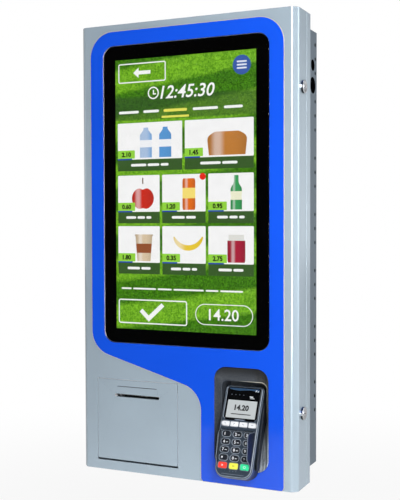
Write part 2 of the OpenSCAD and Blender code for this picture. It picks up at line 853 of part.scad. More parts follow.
module chassis_side() difference() {
    polygon(rounded([[chassis_front, shelf_z], [chassis_front, platen_z - 2],
                     [chassis_front + 6, platen_z + 8], [chassis_front + 6, chassis_top],
                     [chassis_back - chassis_cut, chassis_top],
                     [chassis_back, chassis_top - chassis_cut], [chassis_back, shelf_z]],
                    [0, 4, 4, 3, chassis_cut_r, chassis_cut_r, 0]));
    translate([platen_y, platen_z]) circle(platen_shaft_r + running);
    translate([pinion_y, pinion_z]) circle(motor_shaft_r + 2);
    translate([head_pin_y, head_pin_z]) circle(head_pin_r + running);
    spool_way();
}

module printer_chassis() color(steel) {
    left = opening_left - 3.5;
    right = opening_right + 3.5;
    for (s = [-1, 1]) along(flap_x + s * (plate_in + bracket_t / 2) - bracket_t / 2, bracket_t)
        chassis_side();
    under = shelf_z - bracket_t;
    block([left - chassis_flange, chassis_front, under],
          [right + chassis_flange, chassis_back, shelf_z + eps]);
    for (x = [left - chassis_flange, right]) {
        block([x, inner, under], [x + chassis_flange, chassis_front + eps, shelf_z]);
        block([x, inner, under], [x + chassis_flange, inner + bracket_t, shelf_z + chassis_tab]);
    }
    block([flap_x - plate_in - eps, chassis_back - bracket_t, shelf_z],
          [flap_x + plate_in + eps, chassis_back, shelf_z + chassis_lip]);
}

module print_head() color(charcoal) {
    w = paper_w + 4.6;
    z = paper_z + paper_t;
    along(flap_x - w / 2, w) difference() {
        polygon([[platen_y - 8, z + 5], [platen_y - 3, z], [platen_y + 3, z],
                 [platen_y + 8, z + 2], [platen_y + head_reach, z + 2],
                 [platen_y + head_reach, z + head_h], [platen_y - 8, z + head_h]]);
        for (i = [-1 : 3]) translate([platen_y - 2 + i * 4, z + 8]) square([2, 5]);
    }
    bar(flap_x - plate_in - bracket_t - 1, flap_x + plate_in + bracket_t + 1,
        head_pin_y, head_pin_z, head_pin_r);
}

module printer_motor() color(charcoal) {
    x = flap_x - plate_in;
    difference() {
        union() {
            bar(x, x + motor_l, pinion_y, pinion_z, motor_r);
            bar(x + motor_l, x + motor_l + 3, pinion_y, pinion_z, motor_r / 2);
        }
        bar(x - 1, x + 8, pinion_y, pinion_z, motor_shaft_r + running);
    }
}

module paper_strip() color(white) {
    back = roll_y + roll_r + soft_gap;
    along(flap_x - paper_w / 2, paper_w)
        polygon(rounded([[paper_front, paper_z], [back, paper_z], [back, roll_z],
                         [back + paper_t, roll_z], [back + paper_t, paper_z + paper_t],
                         [paper_front, paper_z + paper_t]],
                        [0, paper_bend, 0, 0, paper_bend + paper_t, 0]));
}

module paper_roll() color(white) difference() {
    bar(flap_x - paper_w / 2, flap_x + paper_w / 2, roll_y, roll_z, roll_r);
    bar(flap_x - paper_w, flap_x + paper_w, roll_y, roll_z, spool_r);
}

module roll_spool() color(charcoal) {
    reach = plate_in + bracket_t + 2;
    bar(flap_x - paper_w / 2, flap_x + paper_w / 2, roll_y, roll_z, spool_r);
    bar(flap_x - reach, flap_x + reach, roll_y, roll_z, spool_pin_r);
}

module platen_roller() color(black) {
    bar(flap_x - paper_w / 2 - 1, flap_x + paper_w / 2 + 1, platen_y, platen_z, platen_r);
    bar(gear_x - gear_w - 1, flap_x + plate_in + bracket_t + 2, platen_y, platen_z,
        platen_shaft_r);
}

// involute spur gear about the origin, with a tooth centred on the +X axis
function involute(base_r, a) =
    base_r * [cos(a) + a * PI / 180 * sin(a), sin(a) - a * PI / 180 * cos(a)];

module gear_outline(teeth, backlash = 0.12) {
    pitch_r = gear_module * teeth / 2;
    base_r = pitch_r * cos(20);
    tip_r = pitch_r + 0.9 * gear_module;
    root_r = pitch_r - 1.2 * gear_module;
    roll_to = sqrt(pow(tip_r / base_r, 2) - 1) * 180 / PI;
    roll_from = root_r > base_r ? sqrt(pow(root_r / base_r, 2) - 1) * 180 / PI : 0;
    half = 90 / teeth + (tan(20) * 180 / PI - 20) - backlash / pitch_r * 90 / PI;
    function turn(p, a) = [p.x * cos(a) - p.y * sin(a), p.x * sin(a) + p.y * cos(a)];
    flank = [for (i = [0 : 5]) turn(involute(base_r, roll_from + (roll_to - roll_from) * i / 5),
                                    -half)];
    foot = root_r * unit(flank[0]);
    tooth = concat([foot], flank, [for (i = [5 : -1 : 0]) [flank[i].x, -flank[i].y]],
                   [[foot.x, -foot.y]]);
    polygon([for (k = [0 : teeth - 1]) each [for (p = tooth) turn(p, k * 360 / teeth)]]);
}

module platen_gear() color(white) translate([0, platen_y, platen_z])
    along(gear_x - gear_w, gear_w) difference() {
        rotate(atan2(pinion_dir.y, pinion_dir.x)) gear_outline(platen_teeth);
        circle(platen_shaft_r);
    }

// a gap of the pinion faces the tooth of the platen gear
module motor_pinion() color(steel) {
    translate([0, pinion_y, pinion_z]) along(gear_x - gear_w - 0.5, gear_w + 1)
        rotate(atan2(pinion_dir.y, pinion_dir.x) + 180 + 180 / pinion_teeth)
            gear_outline(pinion_teeth);
    bar(gear_x - 1, flap_x - plate_in + 7, pinion_y, pinion_z, motor_shaft_r);
}

// ---- terminal pocket ----

module slab(w, h, r, x, z, y) translate([x, y, z]) facing(0, 0.1) rrect(w, h, r);

// the hole at the slope's inner end; its lower right side slants in beside the terminal
module hole_outline(grow = 0) {
    x = hole_w / 2 + grow;
    z = hole_h / 2 + grow;
    r = hole_r + grow;
    translate([pocket_right, hole_z])
        polygon(rounded([[-x, z], [x, z], [x, hole_slant_up - z], [x - hole_slant, -z], [-x, -z]],
                        [r, r, hole_bend_r + grow, r, r]));
}

// the sloping rim's outside
module slope_outside() hull() {
    slab(pocket_w, pocket_h, pocket_r, pocket_right, pocket_z, mouth_y, $fn = 32);
    facing(front + slope_d, eps) hole_outline(pocket_wall);
}

module slope_inside() hull() {
    slab(pocket_w - 2 * pocket_lip, pocket_h - 2 * pocket_lip, pocket_r - pocket_lip,
         pocket_right, pocket_z, mouth_y - 0.2, $fn = 32);
    facing(front + slope_d, 0.1) hole_outline();
}

module terminal_pocket() color(charcoal) difference() {
    union() {
        slope_outside();
        facing(inner, pocket_wall) pocket_outline(pocket_lap);
        facing(front + slope_d, pocket_d - slope_d) hole_outline(pocket_wall);
    }
    slope_inside();
    facing(front + slope_d - eps, pocket_d - slope_d - pocket_wall + eps) hole_outline();
    facing(pocket_back - pocket_wall - 1, pocket_wall + 2)
        translate([pocket_right, hole_z + hole_h / 2 - gland_down]) circle(gland_r);
}

// ---- payment terminal ----

module at_keypad() translate([term_x, bend_y, bend_z]) rotate([90 - keypad_lean, 0, 0]) children();

module at_screen() at_keypad() rotate([-screen_lean, 0, 0]) children();

// plan of the housing, standing in by a distance
module housing_plan(inset) {
    w = term_w / 2 - inset;
    f = term_foot_w / 2 - inset;
    foot = -foot_reach + inset;
    top = top_reach - inset;
    polygon(rounded([[-w, top], [w, top], [w, 0], [f, foot], [-f, foot], [-w, 0]],
                    [term_top_r - inset, term_top_r - inset, 60,
                     term_foot_r - inset, term_foot_r - inset, 60]));
}

// side view of the housing above a level n, lowered by a distance
module housing_side(level, drop)
    polygon([[-foot_reach - 1, level], [top_reach + 1, level],
             [top_reach + 1, -drop - top_drop - sin(screen_lean)], [0, -drop],
             [-foot_reach - 1, -drop]]);

module housing(level, drop, inset, deep) intersection() {
    translate([0, 0, level]) linear_extrude(deep) housing_plan(inset);
    rotate([90, 0, 90]) translate([0, 0, -term_w]) linear_extrude(2 * term_w)
        housing_side(level, drop);
}

// every key of the terminal stands at its own place: [plane, x, u, w, h, r]
function key_place(name) =
    let (k = search([name], key_names)[0], s = search([name], soft_names)[0])
    !is_undef(s) && s != [] && is_num(s)
        ? [1, (s - 1.5) * soft_pitch, soft_u, soft_w, soft_h, soft_r]
        : k < 12 ? [0, (k % 3 - 1) * key_pitch_x, -key_row_u - floor(k / 3) * key_pitch_z,
                    key_w, key_h, min(key_r, key_h / 2 - 0.1)]
                 : [0, (k - 13) * key_pitch_x, -colour_u, colour_w, colour_h, colour_r];

module at_key(name) {
    p = key_place(name);
    if (p[0] == 1) at_screen() translate([p[1], p[2], 0]) children();
    else at_keypad() translate([p[1], p[2], 0]) children();
}

module key(name) {
    p = key_place(name);
    crown = 40;
    at_key(name) intersection() {
        translate([0, 0, -key_deep]) linear_extrude(key_deep + key_rise)
            rrect(p[3], p[4], p[5]);
        translate([0, 0, key_rise - crown]) rotate([90, 0, 0])
            cylinder(3 * key_h, crown, crown, center = true, $fn = 180);
    }
}

module key_well(name) {
    p = key_place(name);
    at_key(name) translate([0, 0, -key_deep - key_travel - 0.8]) linear_extrude(20)
        rrect(p[3] + 2 * key_gap, p[4] + 2 * key_gap, p[5] + key_gap);
}

module terminal_cover() color(slate) difference() {
    at_keypad() hull() {
        housing(-cover_t, edge_r, 0, 3 * cover_t);
        housing(-cover_t, 0, edge_r, 3 * cover_t);
    }
    at_screen() translate([0, lens_u, -lens_t - 0.4]) linear_extrude(20)
        rrect(lens_w + 0.6, lens_l + 0.6, 5.3);
    for (name = key_names) key_well(name);
    for (name = soft_names) key_well(name);
}

module terminal_base() color(charcoal) at_keypad() difference() {
    union() {
        intersection() {
            translate([0, 0, -term_t]) linear_extrude(term_t - cover_t) housing_plan(0);
            rotate([90, 0, 90]) translate([0, 0, -term_w]) linear_extrude(2 * term_w)
                polygon(rounded([[-foot_reach, -cover_t], [top_reach, -cover_t],
                                 [top_reach, -term_t], [-foot_reach + 10, -term_t],
                                 [-foot_reach, -term_t + 8]], [0, 0, 6, 6, 4]));
        }
        // card swipe rail along the right side
        along(term_w / 2 - 0.5, swipe_gap + rail_w + 0.5)
            polygon(rounded([[-rail_foot_u, -rail_deep], [-rail_foot_u, -rail_low - 3],
                             [14 - rail_foot_u, -rail_low], [rail_top_u - 8, -rail_low],
                             [rail_top_u, -rail_low - 8], [rail_top_u, -rail_deep]],
                            [3, 2, 10, 8, 6, 3]));
    }
    along(term_w / 2, swipe_gap) polygon([[-100, -cover_t - 5], [100, -cover_t - 5],
                                          [100, 5], [-100, 5]]);
    along(term_w / 2 - 1, 1.001) polygon([[-100, -cover_t], [100, -cover_t], [100, 5], [-100, 5]]);
    translate([-chip_slot.x / 2, -foot_reach - 1, -cover_t - 3]) cube(chip_slot);
}

module terminal_screen() color(black) at_screen() translate([0, lens_u, -lens_t - 0.4])
    linear_extrude(lens_t) rrect(lens_w, lens_l, 5);

module privacy_shield() color(charcoal) at_keypad() {
    side_view = rounded([[shield_top_u, 0], [shield_top_u, 3], [shield_top_u - 7, shield_h],
                         [shield_brow_u, 0.81 * shield_h], [shield_step_u, 0.7 * shield_h],
                         [shield_nose_u, 4], [shield_foot_u, 0]],
                        [0, 3, 9, shield_brow_r, 8, 6, 0]);
    for (s = [-1, 1]) translate([s * shield_x, 0, 0.2]) rotate([0, -s * shield_lean, 0])
        along(-shield_t / 2, shield_t) polygon(side_view);
    translate([-shield_x, shield_top_u - shield_t, 0.05]) cube([2 * shield_x, shield_t, 3]);
}

// where a place [u, n] of the terminal lies in Y and Z
function leaned(p) = [bend_y + p.x * sin(keypad_lean) - p.y * cos(keypad_lean),
                      bend_z + p.x * cos(keypad_lean) + p.y * sin(keypad_lean)];

// a folded plate that carries the terminal on the pocket's back wall
module terminal_cradle() color(steel) {
    half = cradle_w / 2;
    wall_y = pocket_back - pocket_wall - bracket_t;
    a = leaned([cradle_top_u, -term_t]);
    b = leaned([cradle_foot_u, -term_t]);
    back = leaned([0, -bracket_t]) - leaned([0, 0]);
    floor_z = hole_z - hole_h / 2 + cradle_up;
    along(term_x - half, cradle_w) polygon([a, b, b + back, a + back]);
    block([term_x - half, wall_y, floor_z], [term_x + half, wall_y + bracket_t, a.y + 6]);
    for (x = [-half, half - bracket_t]) along(term_x + x, bracket_t)
        polygon([a, [wall_y + eps, a.y], [wall_y + eps, floor_z], [b.x + cradle_nose, floor_z], b]);
}

rear_cabinet();
cabinet_rim();
lock_strikers();
power_inlet();
power_supply();
kiosk_computer();
hinge_cabinet_leaf();
hinge_pin();
front_door();
blue_surround();
screen_glass();
glass_frame();
display_panel();
display_rails();
lock_barrel(1);  // upper_lock_barrel
lock_barrel(-1);  // lower_lock_barrel
lock_nuts();
hinge_door_leaf();
terminal_pocket();
terminal_cradle();
flap_brackets();
magnetic_catch();
printer_chassis();
print_head();
printer_motor();
paper_strip();
terminal_base();
terminal_cover();
terminal_screen();
privacy_shield();
printer_flap();
slot_bezel();
lock_plug(1);  // upper_lock_plug
lock_cam(1);  // upper_lock_cam
lock_plug(-1);  // lower_lock_plug
lock_cam(-1);  // lower_lock_cam
paper_roll();
roll_spool();
platen_roller();
platen_gear();
motor_pinion();
for (name = concat(key_names, soft_names))
    color(name == "key_red" ? [0.90, 0.20, 0.15] : name == "key_yellow" ? [0.95, 0.90, 0.25]
              : name == "key_green" ? [0.20, 0.85, 0.55] : name[0] == "s" ? white : slate)
            key(name);
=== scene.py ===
import json
from math import radians, sin, cos, pi

import bmesh
import bpy
import numpy as np
from mathutils import Matrix, Vector

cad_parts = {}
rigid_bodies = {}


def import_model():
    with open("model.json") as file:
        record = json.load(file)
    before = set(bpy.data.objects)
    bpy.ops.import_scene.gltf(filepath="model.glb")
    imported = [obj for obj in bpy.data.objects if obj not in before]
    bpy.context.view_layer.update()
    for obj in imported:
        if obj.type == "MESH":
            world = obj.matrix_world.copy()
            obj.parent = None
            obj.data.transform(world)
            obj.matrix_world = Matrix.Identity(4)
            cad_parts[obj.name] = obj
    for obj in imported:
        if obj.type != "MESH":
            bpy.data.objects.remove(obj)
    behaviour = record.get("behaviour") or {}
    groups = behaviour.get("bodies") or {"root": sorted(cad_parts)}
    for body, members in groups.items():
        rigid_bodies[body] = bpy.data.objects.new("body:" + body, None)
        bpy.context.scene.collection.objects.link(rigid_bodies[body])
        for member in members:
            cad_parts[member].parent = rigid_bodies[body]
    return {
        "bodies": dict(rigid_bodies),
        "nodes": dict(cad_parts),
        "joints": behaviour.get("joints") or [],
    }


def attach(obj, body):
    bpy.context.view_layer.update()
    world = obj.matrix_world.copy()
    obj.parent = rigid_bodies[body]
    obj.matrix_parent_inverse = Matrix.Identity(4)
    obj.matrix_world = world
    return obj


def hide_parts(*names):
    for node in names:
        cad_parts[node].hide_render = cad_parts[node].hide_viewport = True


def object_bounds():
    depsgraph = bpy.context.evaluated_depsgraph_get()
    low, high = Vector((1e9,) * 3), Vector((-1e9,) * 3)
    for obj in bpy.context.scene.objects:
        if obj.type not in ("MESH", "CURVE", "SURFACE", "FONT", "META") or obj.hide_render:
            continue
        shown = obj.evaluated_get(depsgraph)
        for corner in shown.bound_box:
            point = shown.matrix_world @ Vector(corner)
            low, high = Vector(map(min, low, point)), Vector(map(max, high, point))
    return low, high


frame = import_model()
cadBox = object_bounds()
nodes = frame["nodes"]
bodyNames = {empty.name: name for name, empty in frame["bodies"].items()}
mm = 0.001
tiny = 0.001 * mm  # points nearer than this are one point
hair = 0.01 * mm  # least step between two surfaces, and how far off a plane still counts as on it
print("frame loaded:", len(nodes), "nodes")


def addObject(name, data):
    made = bpy.data.objects.new(name, data)
    bpy.context.scene.collection.objects.link(made)
    return made


# mesh made an object with its finish, riding on a body and standing for CAD nodes
def addPiece(name, mesh, finish, body, standsFor=(), smoothAngle=35):
    mesh.name = name
    piece = addObject(name, mesh)
    mesh.materials.clear()
    mesh.materials.append(finish)
    mesh.shade_smooth()
    mesh.set_sharp_from_angle(angle=radians(smoothAngle))
    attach(piece, body)
    if standsFor:
        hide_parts(*standsFor)
    return piece


# merges doubles and turns every face outwards
def cleanMesh(mesh, near=tiny):
    bm = bmesh.new()
    bm.from_mesh(mesh)
    bmesh.ops.remove_doubles(bm, verts=bm.verts, dist=near)
    bmesh.ops.recalc_face_normals(bm, faces=bm.faces)
    bm.to_mesh(mesh)
    bm.free()
    return mesh


# surface P(i, j) over a grid of points: columns go round, and rows run between two capped ends
# or back to the first
def gridMesh(points, closeRows=False):
    rows, cols, _ = points.shape
    mesh = bpy.data.meshes.new("grid")
    index = np.arange(rows * cols).reshape(rows, cols)
    nextRow = np.roll(index, -1, 0)
    if not closeRows:
        index, nextRow = index[:-1], nextRow[:-1]
    right = np.roll(index, -1, 1)
    nextRight = np.roll(nextRow, -1, 1)
    quads = np.stack([index, right, nextRight, nextRow], -1).reshape(-1, 4)
    faces = quads.tolist()
    if not closeRows:
        faces += [list(range(cols))[::-1], list(range((rows - 1) * cols, rows * cols))]
    mesh.from_pydata(points.reshape(-1, 3).tolist(), [], faces)
    return cleanMesh(mesh)


def joined(meshes):
    bm = bmesh.new()
    for mesh in meshes:
        bm.from_mesh(mesh)
        bpy.data.meshes.remove(mesh)
    mesh = bpy.data.meshes.new("joined")
    bm.to_mesh(mesh)
    bm.free()
    return mesh


# so many even turns once round
def fullTurn(steps):
    return np.linspace(0, 2 * pi, steps, endpoint=False)


# matrix of a place whose own X, Y and Z point along three directions
def standing(place, x, y, z):
    return Matrix.Translation(place) @ Matrix((x, y, z)).transposed().to_4x4()


# rounded rectangle as N x 2: centre +- (half - r), plus r (cos a, sin a) with a going once round
def roundRect(width, height, radius, steps=8):
    limit = min(width, height) / 2 - tiny
    radii = np.repeat(np.minimum(np.broadcast_to(radius, 4), limit), steps + 1)[:, None]
    quarter = np.linspace(0, pi / 2, steps + 1)
    turns = np.concatenate([quarter + k * pi / 2 for k in range(4)])
    corner = np.repeat([[1, 1], [-1, 1], [-1, -1], [1, -1]], steps + 1, axis=0)
    centre = corner * ([width / 2, height / 2] - radii)
    return centre + radii * np.stack([np.cos(turns), np.sin(turns)], 1)


# an outline of (x, z) stood up in the frame at the depth y
def upright(outline, y):
    outline = np.asarray(outline)
    return np.stack([outline[:, 0], np.full(len(outline), y), outline[:, 1]], 1)


# closed plate: one upright outline at each of two depths
def slab(outline, depths):
    return gridMesh(np.array([upright(outline, y) for y in depths]))


# closed profile of (radius, along) turned about an axis: P(i, j) = r_i (cos a_j, sin a_j), along_i
def turned(profile, origin, axis, steps=64):
    axis = Vector(axis).normalized()
    side = axis.orthogonal().normalized()
    other = axis.cross(side)
    angle = fullTurn(steps)
    radius, along = np.array(profile, float).T
    points = (np.array(origin)
              + radius[:, None, None] * (np.cos(angle)[None, :, None] * np.array(side)
                                         + np.sin(angle)[None, :, None] * np.array(other))
              + along[:, None, None] * np.array(axis))
    return gridMesh(points, closeRows=True)


# round corner of a profile: centre + r (cos a, sin a) from one angle to another
def arc(centre, radius, start, end, steps=5):
    angle = np.radians(np.linspace(start, end, steps + 1))
    return [(centre[0] + radius * cos(a), centre[1] + radius * sin(a)) for a in angle]


# copy of a CAD node with its sharp edges rounded
def softened(node, finish, width=0.4 * mm, segments=2, angle=32):
    mesh = cleanMesh(nodes[node].data.copy(), near=2 * tiny)
    piece = addPiece(node + "_skin", mesh, finish, bodyNames[nodes[node].parent.name], (node,))
    bevel = piece.modifiers.new("edges", "BEVEL")
    bevel.width = width
    bevel.segments = segments
    bevel.limit_method = "ANGLE"
    bevel.angle_limit = radians(angle)
    bevel.use_clamp_overlap = False
    bevel.harden_normals = True
    # large flat faces keep their own normals
    weighted = piece.modifiers.new("normals", "WEIGHTED_NORMAL")
    weighted.weight = 100
    weighted.keep_sharp = True
    return piece


def meshPoints(mesh):
    points = np.empty(len(mesh.vertices) * 3)
    mesh.vertices.foreach_get("co", points)
    return points.reshape(-1, 3)


# all of a CAD node's points
def nodePoints(node):
    return meshPoints(nodes[node].data)


def span(node):
    points = nodePoints(node)
    return points.min(0), points.max(0)


# outlines of a node's flat faces on the plane where the given axis has the given level
def flatLoops(node, axis, level, straight=0.99):
    bm = bmesh.new()
    bm.from_mesh(nodes[node].data)
    bmesh.ops.remove_doubles(bm, verts=bm.verts, dist=tiny)
    other = [k for k in range(3) if k != axis]
    flat = {f for f in bm.faces if abs(f.normal[axis]) > straight}
    faces = [f for f in bm.faces
             if f in flat and abs(f.calc_center_median()[axis] - level) < hair]
    edges = dict.fromkeys(e for f in faces for e in f.edges
                          if len(flat.intersection(e.link_faces)) == 1)
    links = {}
    for edge in edges:
        for vert in edge.verts:
            links.setdefault(vert, []).append(edge.other_vert(vert))
    loops, seen = [], set()
    for vert in sorted(links, key=lambda v: v.index):
        loop = []
        while vert is not None and vert not in seen:
            seen.add(vert)
            loop.append([vert.co[k] for k in other])
            vert = next((v for v in links[vert] if v not in seen), None)
        if len(loop) > 3:
            loops.append(np.array(loop))
    bm.free()
    return loops


# an operator as a Math node, its two sides swapped for the reflected form
def operator(kind, swapped=False):
    def apply(value, other=None):
        sides = (other, value) if swapped else (value, other)
        sockets = {k: side for k, side in enumerate(sides) if side is not None}
        return value.finish.node("Math", {"operation": kind}, sockets)
    return apply


# a socket in a finish's nodes, on which an expression adds its Math nodes
class Value:
    __add__ = operator("ADD")
    __radd__ = operator("ADD", swapped=True)
    __sub__ = operator("SUBTRACT")
    __rsub__ = operator("SUBTRACT", swapped=True)
    __mul__ = operator("MULTIPLY")
    __rmul__ = operator("MULTIPLY", swapped=True)
    __truediv__ = operator("DIVIDE")
    __rtruediv__ = operator("DIVIDE", swapped=True)
    __pow__ = operator("POWER")
    __abs__ = operator("ABSOLUTE")
    above = operator("GREATER_THAN")
    below = operator("LESS_THAN")
    sine = operator("SINE")
    root = operator("SQRT")

    def __init__(self, finish, socket):
        self.finish = finish
        self.socket = socket

    def clipped(self):
        return self.finish.node("Clamp", {}, {0: self})

    # 0 below low, 1 above high, smooth between
    def ramp(self, low, high):
        return self.finish.node("MapRange", {"interpolation_type": "SMOOTHSTEP"},
                                {0: self, 1: low, 2: high})

    # a pattern from 0 to 1 made to run so far either side of a middle
    def around(self, middle, spread):
        return self * (2 * spread) + (middle - spread)


class Finish:
    def __init__(self, name, world=None):
        self.material = world or bpy.data.materials.new(name)
        self.material.use_nodes = True
        self.tree = self.material.node_tree
        self.tree.nodes.clear()
        self.place = self.node("TexCoord", out="Generated" if world else "Object")

    # one node of any kind: its settings first, then the values or links of its sockets
    def node(self, kind, settings=None, sockets=None, out=0):
        made = self.tree.nodes.new("ShaderNode" + kind)
        for key, value in (settings or {}).items():
            setattr(made, key, value)
        for key, value in (sockets or {}).items():
            self.feed(made.inputs[key], value)
        return Value(self, made.outputs[out] if made.outputs else None)

    def feed(self, socket, value):
        if isinstance(value, Value):
            self.tree.links.new(value.socket, socket)
        elif socket.type == "RGBA" and len(value) == 3:
            socket.default_value = (*value, 1)
        else:
            socket.default_value = value

    def axes(self):
        return [self.node("SeparateXYZ", {}, {0: self.place}, out=k) for k in "XYZ"]

    # cloudy noise of so many waves a metre, 0 to 1
    def noise(self, waves, detail=3, stretch=(1, 1, 1), rough=0.5):
        place = self.node("Mapping", {}, {"Vector": self.place, "Scale": stretch})
        return self.node("TexNoise", {}, {"Vector": place, "Scale": waves, "Detail": detail,
                                          "Roughness": rough})

    # cells, so many a metre
    def cells(self, count, out="Distance"):
        return self.node("TexVoronoi", {}, {"Vector": self.place, "Scale": count}, out=out)

    def mix(self, factor, first, second):
        return self.node("Mix", {"data_type": "RGBA"}, {0: factor, 6: first, 7: second}, out=2)

    # a colour made a little darker and paler by a cloudy pattern
    def varied(self, cloud, colour, spread, low=0.3):
        return self.mix(cloud.ramp(low, 1 - low), scaled(colour, 1 - spread),
                        scaled(colour, 1 + spread))

    def bump(self, height, distance, strength, normal=None):
        sockets = {"Height": height, "Distance": distance, "Strength": strength}
        if normal is not None:
            sockets["Normal"] = normal
        return self.node("Bump", {}, sockets)

    # rounds the sharp edges of a solid in its shading
    def edges(self, radius):
        return self.node("Bevel", {"samples": 4}, {"Radius": radius})

    def shade(self, sockets):
        bsdf = self.node("BsdfPrincipled", {}, sockets)
        self.node("OutputMaterial", {}, {"Surface": bsdf})
        return self.material

    # a picture's own light, with next to nothing taken from outside
    def glow(self, colour):
        return self.shade({"Base Color": (0.01, 0.01, 0.01), "Roughness": 0.5,
                           "Specular IOR Level": 0.0, "Emission Color": colour,
                           "Emission Strength": 1.0})


# a colour as it looks on a screen, 0 to 255, made linear
def tone(red, green, blue):
    return tuple((c / 255 / 12.92) if c <= 10 else ((c / 255 + 0.055) / 1.055) ** 2.4
                 for c in (red, green, blue))


def scaled(colour, factor):
    return tuple(min(c * factor, 1) for c in colour)


# sprayed paint: cloudy tone, pale specks, orange peel, and edges rounded in the shading
def paint(name, colour, rough, coat, metal=0.0, peel=0.05 * mm, edge=0.5 * mm):
    f = Finish(name)
    cloud = f.noise(waves=7, detail=4)
    speck = f.noise(waves=2600, detail=1).ramp(0.35, 0.75)
    body = f.mix(speck * 0.25, f.varied(cloud, colour, 0.035), scaled(colour, 1.22))
    normal = f.bump(f.noise(waves=900, detail=2), peel, 0.35, f.edges(edge))
    return f.shade({"Base Color": body, "Roughness": cloud.around(rough, 0.04),
                    "Metallic": metal, "Normal": normal, "Coat Weight": coat,
                    "Coat Roughness": 0.25})


# moulded plastic with a spark-eroded grain
def plastic(name, colour, rough=0.5, grain=1400, depth=0.05 * mm, edge=0.4 * mm, coat=0.0):
    f = Finish(name)
    cloud = f.noise(waves=18)
    normal = f.bump(f.cells(grain), depth, 0.4, f.edges(edge) if edge else None)
    return f.shade({"Base Color": f.varied(cloud, colour, 0.08, 0.25),
                    "Roughness": cloud.around(rough, 0.05), "Normal": normal,
                    "Coat Weight": coat, "Coat Roughness": 0.2})


# hard glossy acrylic or plastic
def gloss(name, colour, rough, coat=0.5, wave=0.01 * mm):
    f = Finish(name)
    cloud = f.noise(waves=5, detail=2)
    haze = f.noise(waves=240)
    return f.shade({"Base Color": f.varied(cloud, colour, 0.03),
                    "Roughness": haze.around(rough, 0.03), "Normal": f.bump(haze, wave, 0.25),
                    "Coat Weight": coat, "Coat Roughness": 0.06})


# zinc-plated or stainless sheet, with rolling marks along one axis
def steel(name, colour, rough, stretch, edge=0.3 * mm):
    f = Finish(name)
    lines = f.noise(160, 4, stretch, 0.65)
    body = f.mix(lines, scaled(colour, 0.86), scaled(colour, 1.1))
    body = f.mix(0.06, body, f.cells(90, "Color"))
    normal = f.bump(lines, 0.02 * mm, 0.4, f.edges(edge))
    return f.shade({"Base Color": body, "Metallic": 1.0, "Roughness": lines.around(rough, 0.08),
                    "Normal": normal})


plated = {"dull": (0.74, 0.76, 0.80), "bright": (0.86, 0.87, 0.90), "paintedShare": 0.95,
          "below": (0.008, 0.009, 0.012), "above": (0.02, 0.045, 0.14), "middle": (0.12, 0.28)}


# plated brass; where a rim is given as (centre z, radius, face x), its side gets painted
# reflection:
# near-black painted shade below its middle and a dark blue painted reflection above it
def chrome(name, rim=None, p=plated):
    f = Finish(name)
    scratches = f.noise(420, 3, (1, 6, 1), 0.7)
    smear = f.noise(waves=60, detail=2)
    body = f.mix(smear, p["dull"], p["bright"])
    if rim:
        x, _, z = f.axes()
        # painted reflection on the rim's side: near-black below its middle, dark blue above
        height = (z - rim[0]) / rim[1]
        paintedReflection = f.mix(height.above(0), p["below"], p["above"])
        share = x.below(rim[2]) * abs(height).ramp(*p["middle"]) * p["paintedShare"]
        body = f.mix(share, body, paintedReflection)
    return f.shade({"Base Color": body, "Metallic": 1.0, "Roughness": smear.around(0.11, 0.04),
                    "Normal": f.bump(scratches, 0.01 * mm, 0.3)})


# a lit part of a picture
def lit(name, colour, shade=None):
    f = Finish(name)
    cloud = f.noise(waves=60, detail=2)
    colour = f.mix(cloud.ramp(0.3, 0.7), scaled(colour, 0.965), colour)
    return f.glow(shade(f, colour) if shade else colour)


# black with no sheen of its own, for painted shade in openings and ink behind glass
def flatBlack(name, waves, deep, pale, rough):
    f = Finish(name)
    return f.shade({"Base Color": f.mix(f.noise(waves, 2), deep, pale), "Roughness": rough,
                    "Specular IOR Level": 0.0})


silverPaint = paint("silverPaint", tone(182, 199, 212), rough=0.22, coat=0.3, metal=0.35)
greyPaint = paint("greyPaint", tone(98, 110, 121), rough=0.5, coat=0.0)
blueGloss = gloss("blueGloss", tone(20, 82, 221), rough=0.09)
blackGloss = gloss("blackGloss", tone(8, 9, 12), rough=0.08)
zinc = steel("zincSteel", (0.62, 0.63, 0.65), rough=0.34, stretch=(1, 1, 30))
brightSteel = steel("brightSteel", (0.70, 0.70, 0.71), rough=0.25, stretch=(30, 1, 1))
chromePlate = chrome("chromePlate")
# near-black for painted shade inside openings
paintedShadeBlack = flatBlack("paintedShadeBlack", 300, (0.0006, 0.0006, 0.0008), (0.002, 0.002, 0.0024), rough=0.9)

fineGrain = {"grain": 2400, "depth": 0.02 * mm, "edge": None}
thinPrint = {"grain": 1700, "depth": 0.01 * mm, "edge": None}
charcoalPlastic = plastic("charcoalPlastic", tone(34, 40, 50), 0.45)
slatePlastic = plastic("slatePlastic", tone(48, 60, 74), 0.4, 1700, 0.03 * mm, coat=0.5)
keyPlastic = plastic("keyPlastic", tone(26, 31, 40), 0.38, **fineGrain)
shieldPlastic = plastic("shieldPlastic", tone(18, 24, 36), 0.3, 2000, 0.02 * mm)
# white for the soft keys and the gear, and white painted light in the flap's seams and at the
# slot's ends
whitePlasticAndPaintedLight = plastic("whitePlasticAndPaintedLight", tone(232, 234, 238), 0.38, 2000, 0.02 * mm, None)
blackRubber = plastic("blackRubber", tone(28, 28, 30), 0.75, 700, 0.06 * mm)
dimGrey = plastic("dimGrey", tone(62, 68, 76), 0.5, **thinPrint)
print("finishes made")


cameraSetup = {"place": (0.756, -1.735, 0.055), "yaw": 24.71, "down": 1.81, "roll": -0.15,
               "lens": 65.68, "sensor": 36, "farthest": 60}


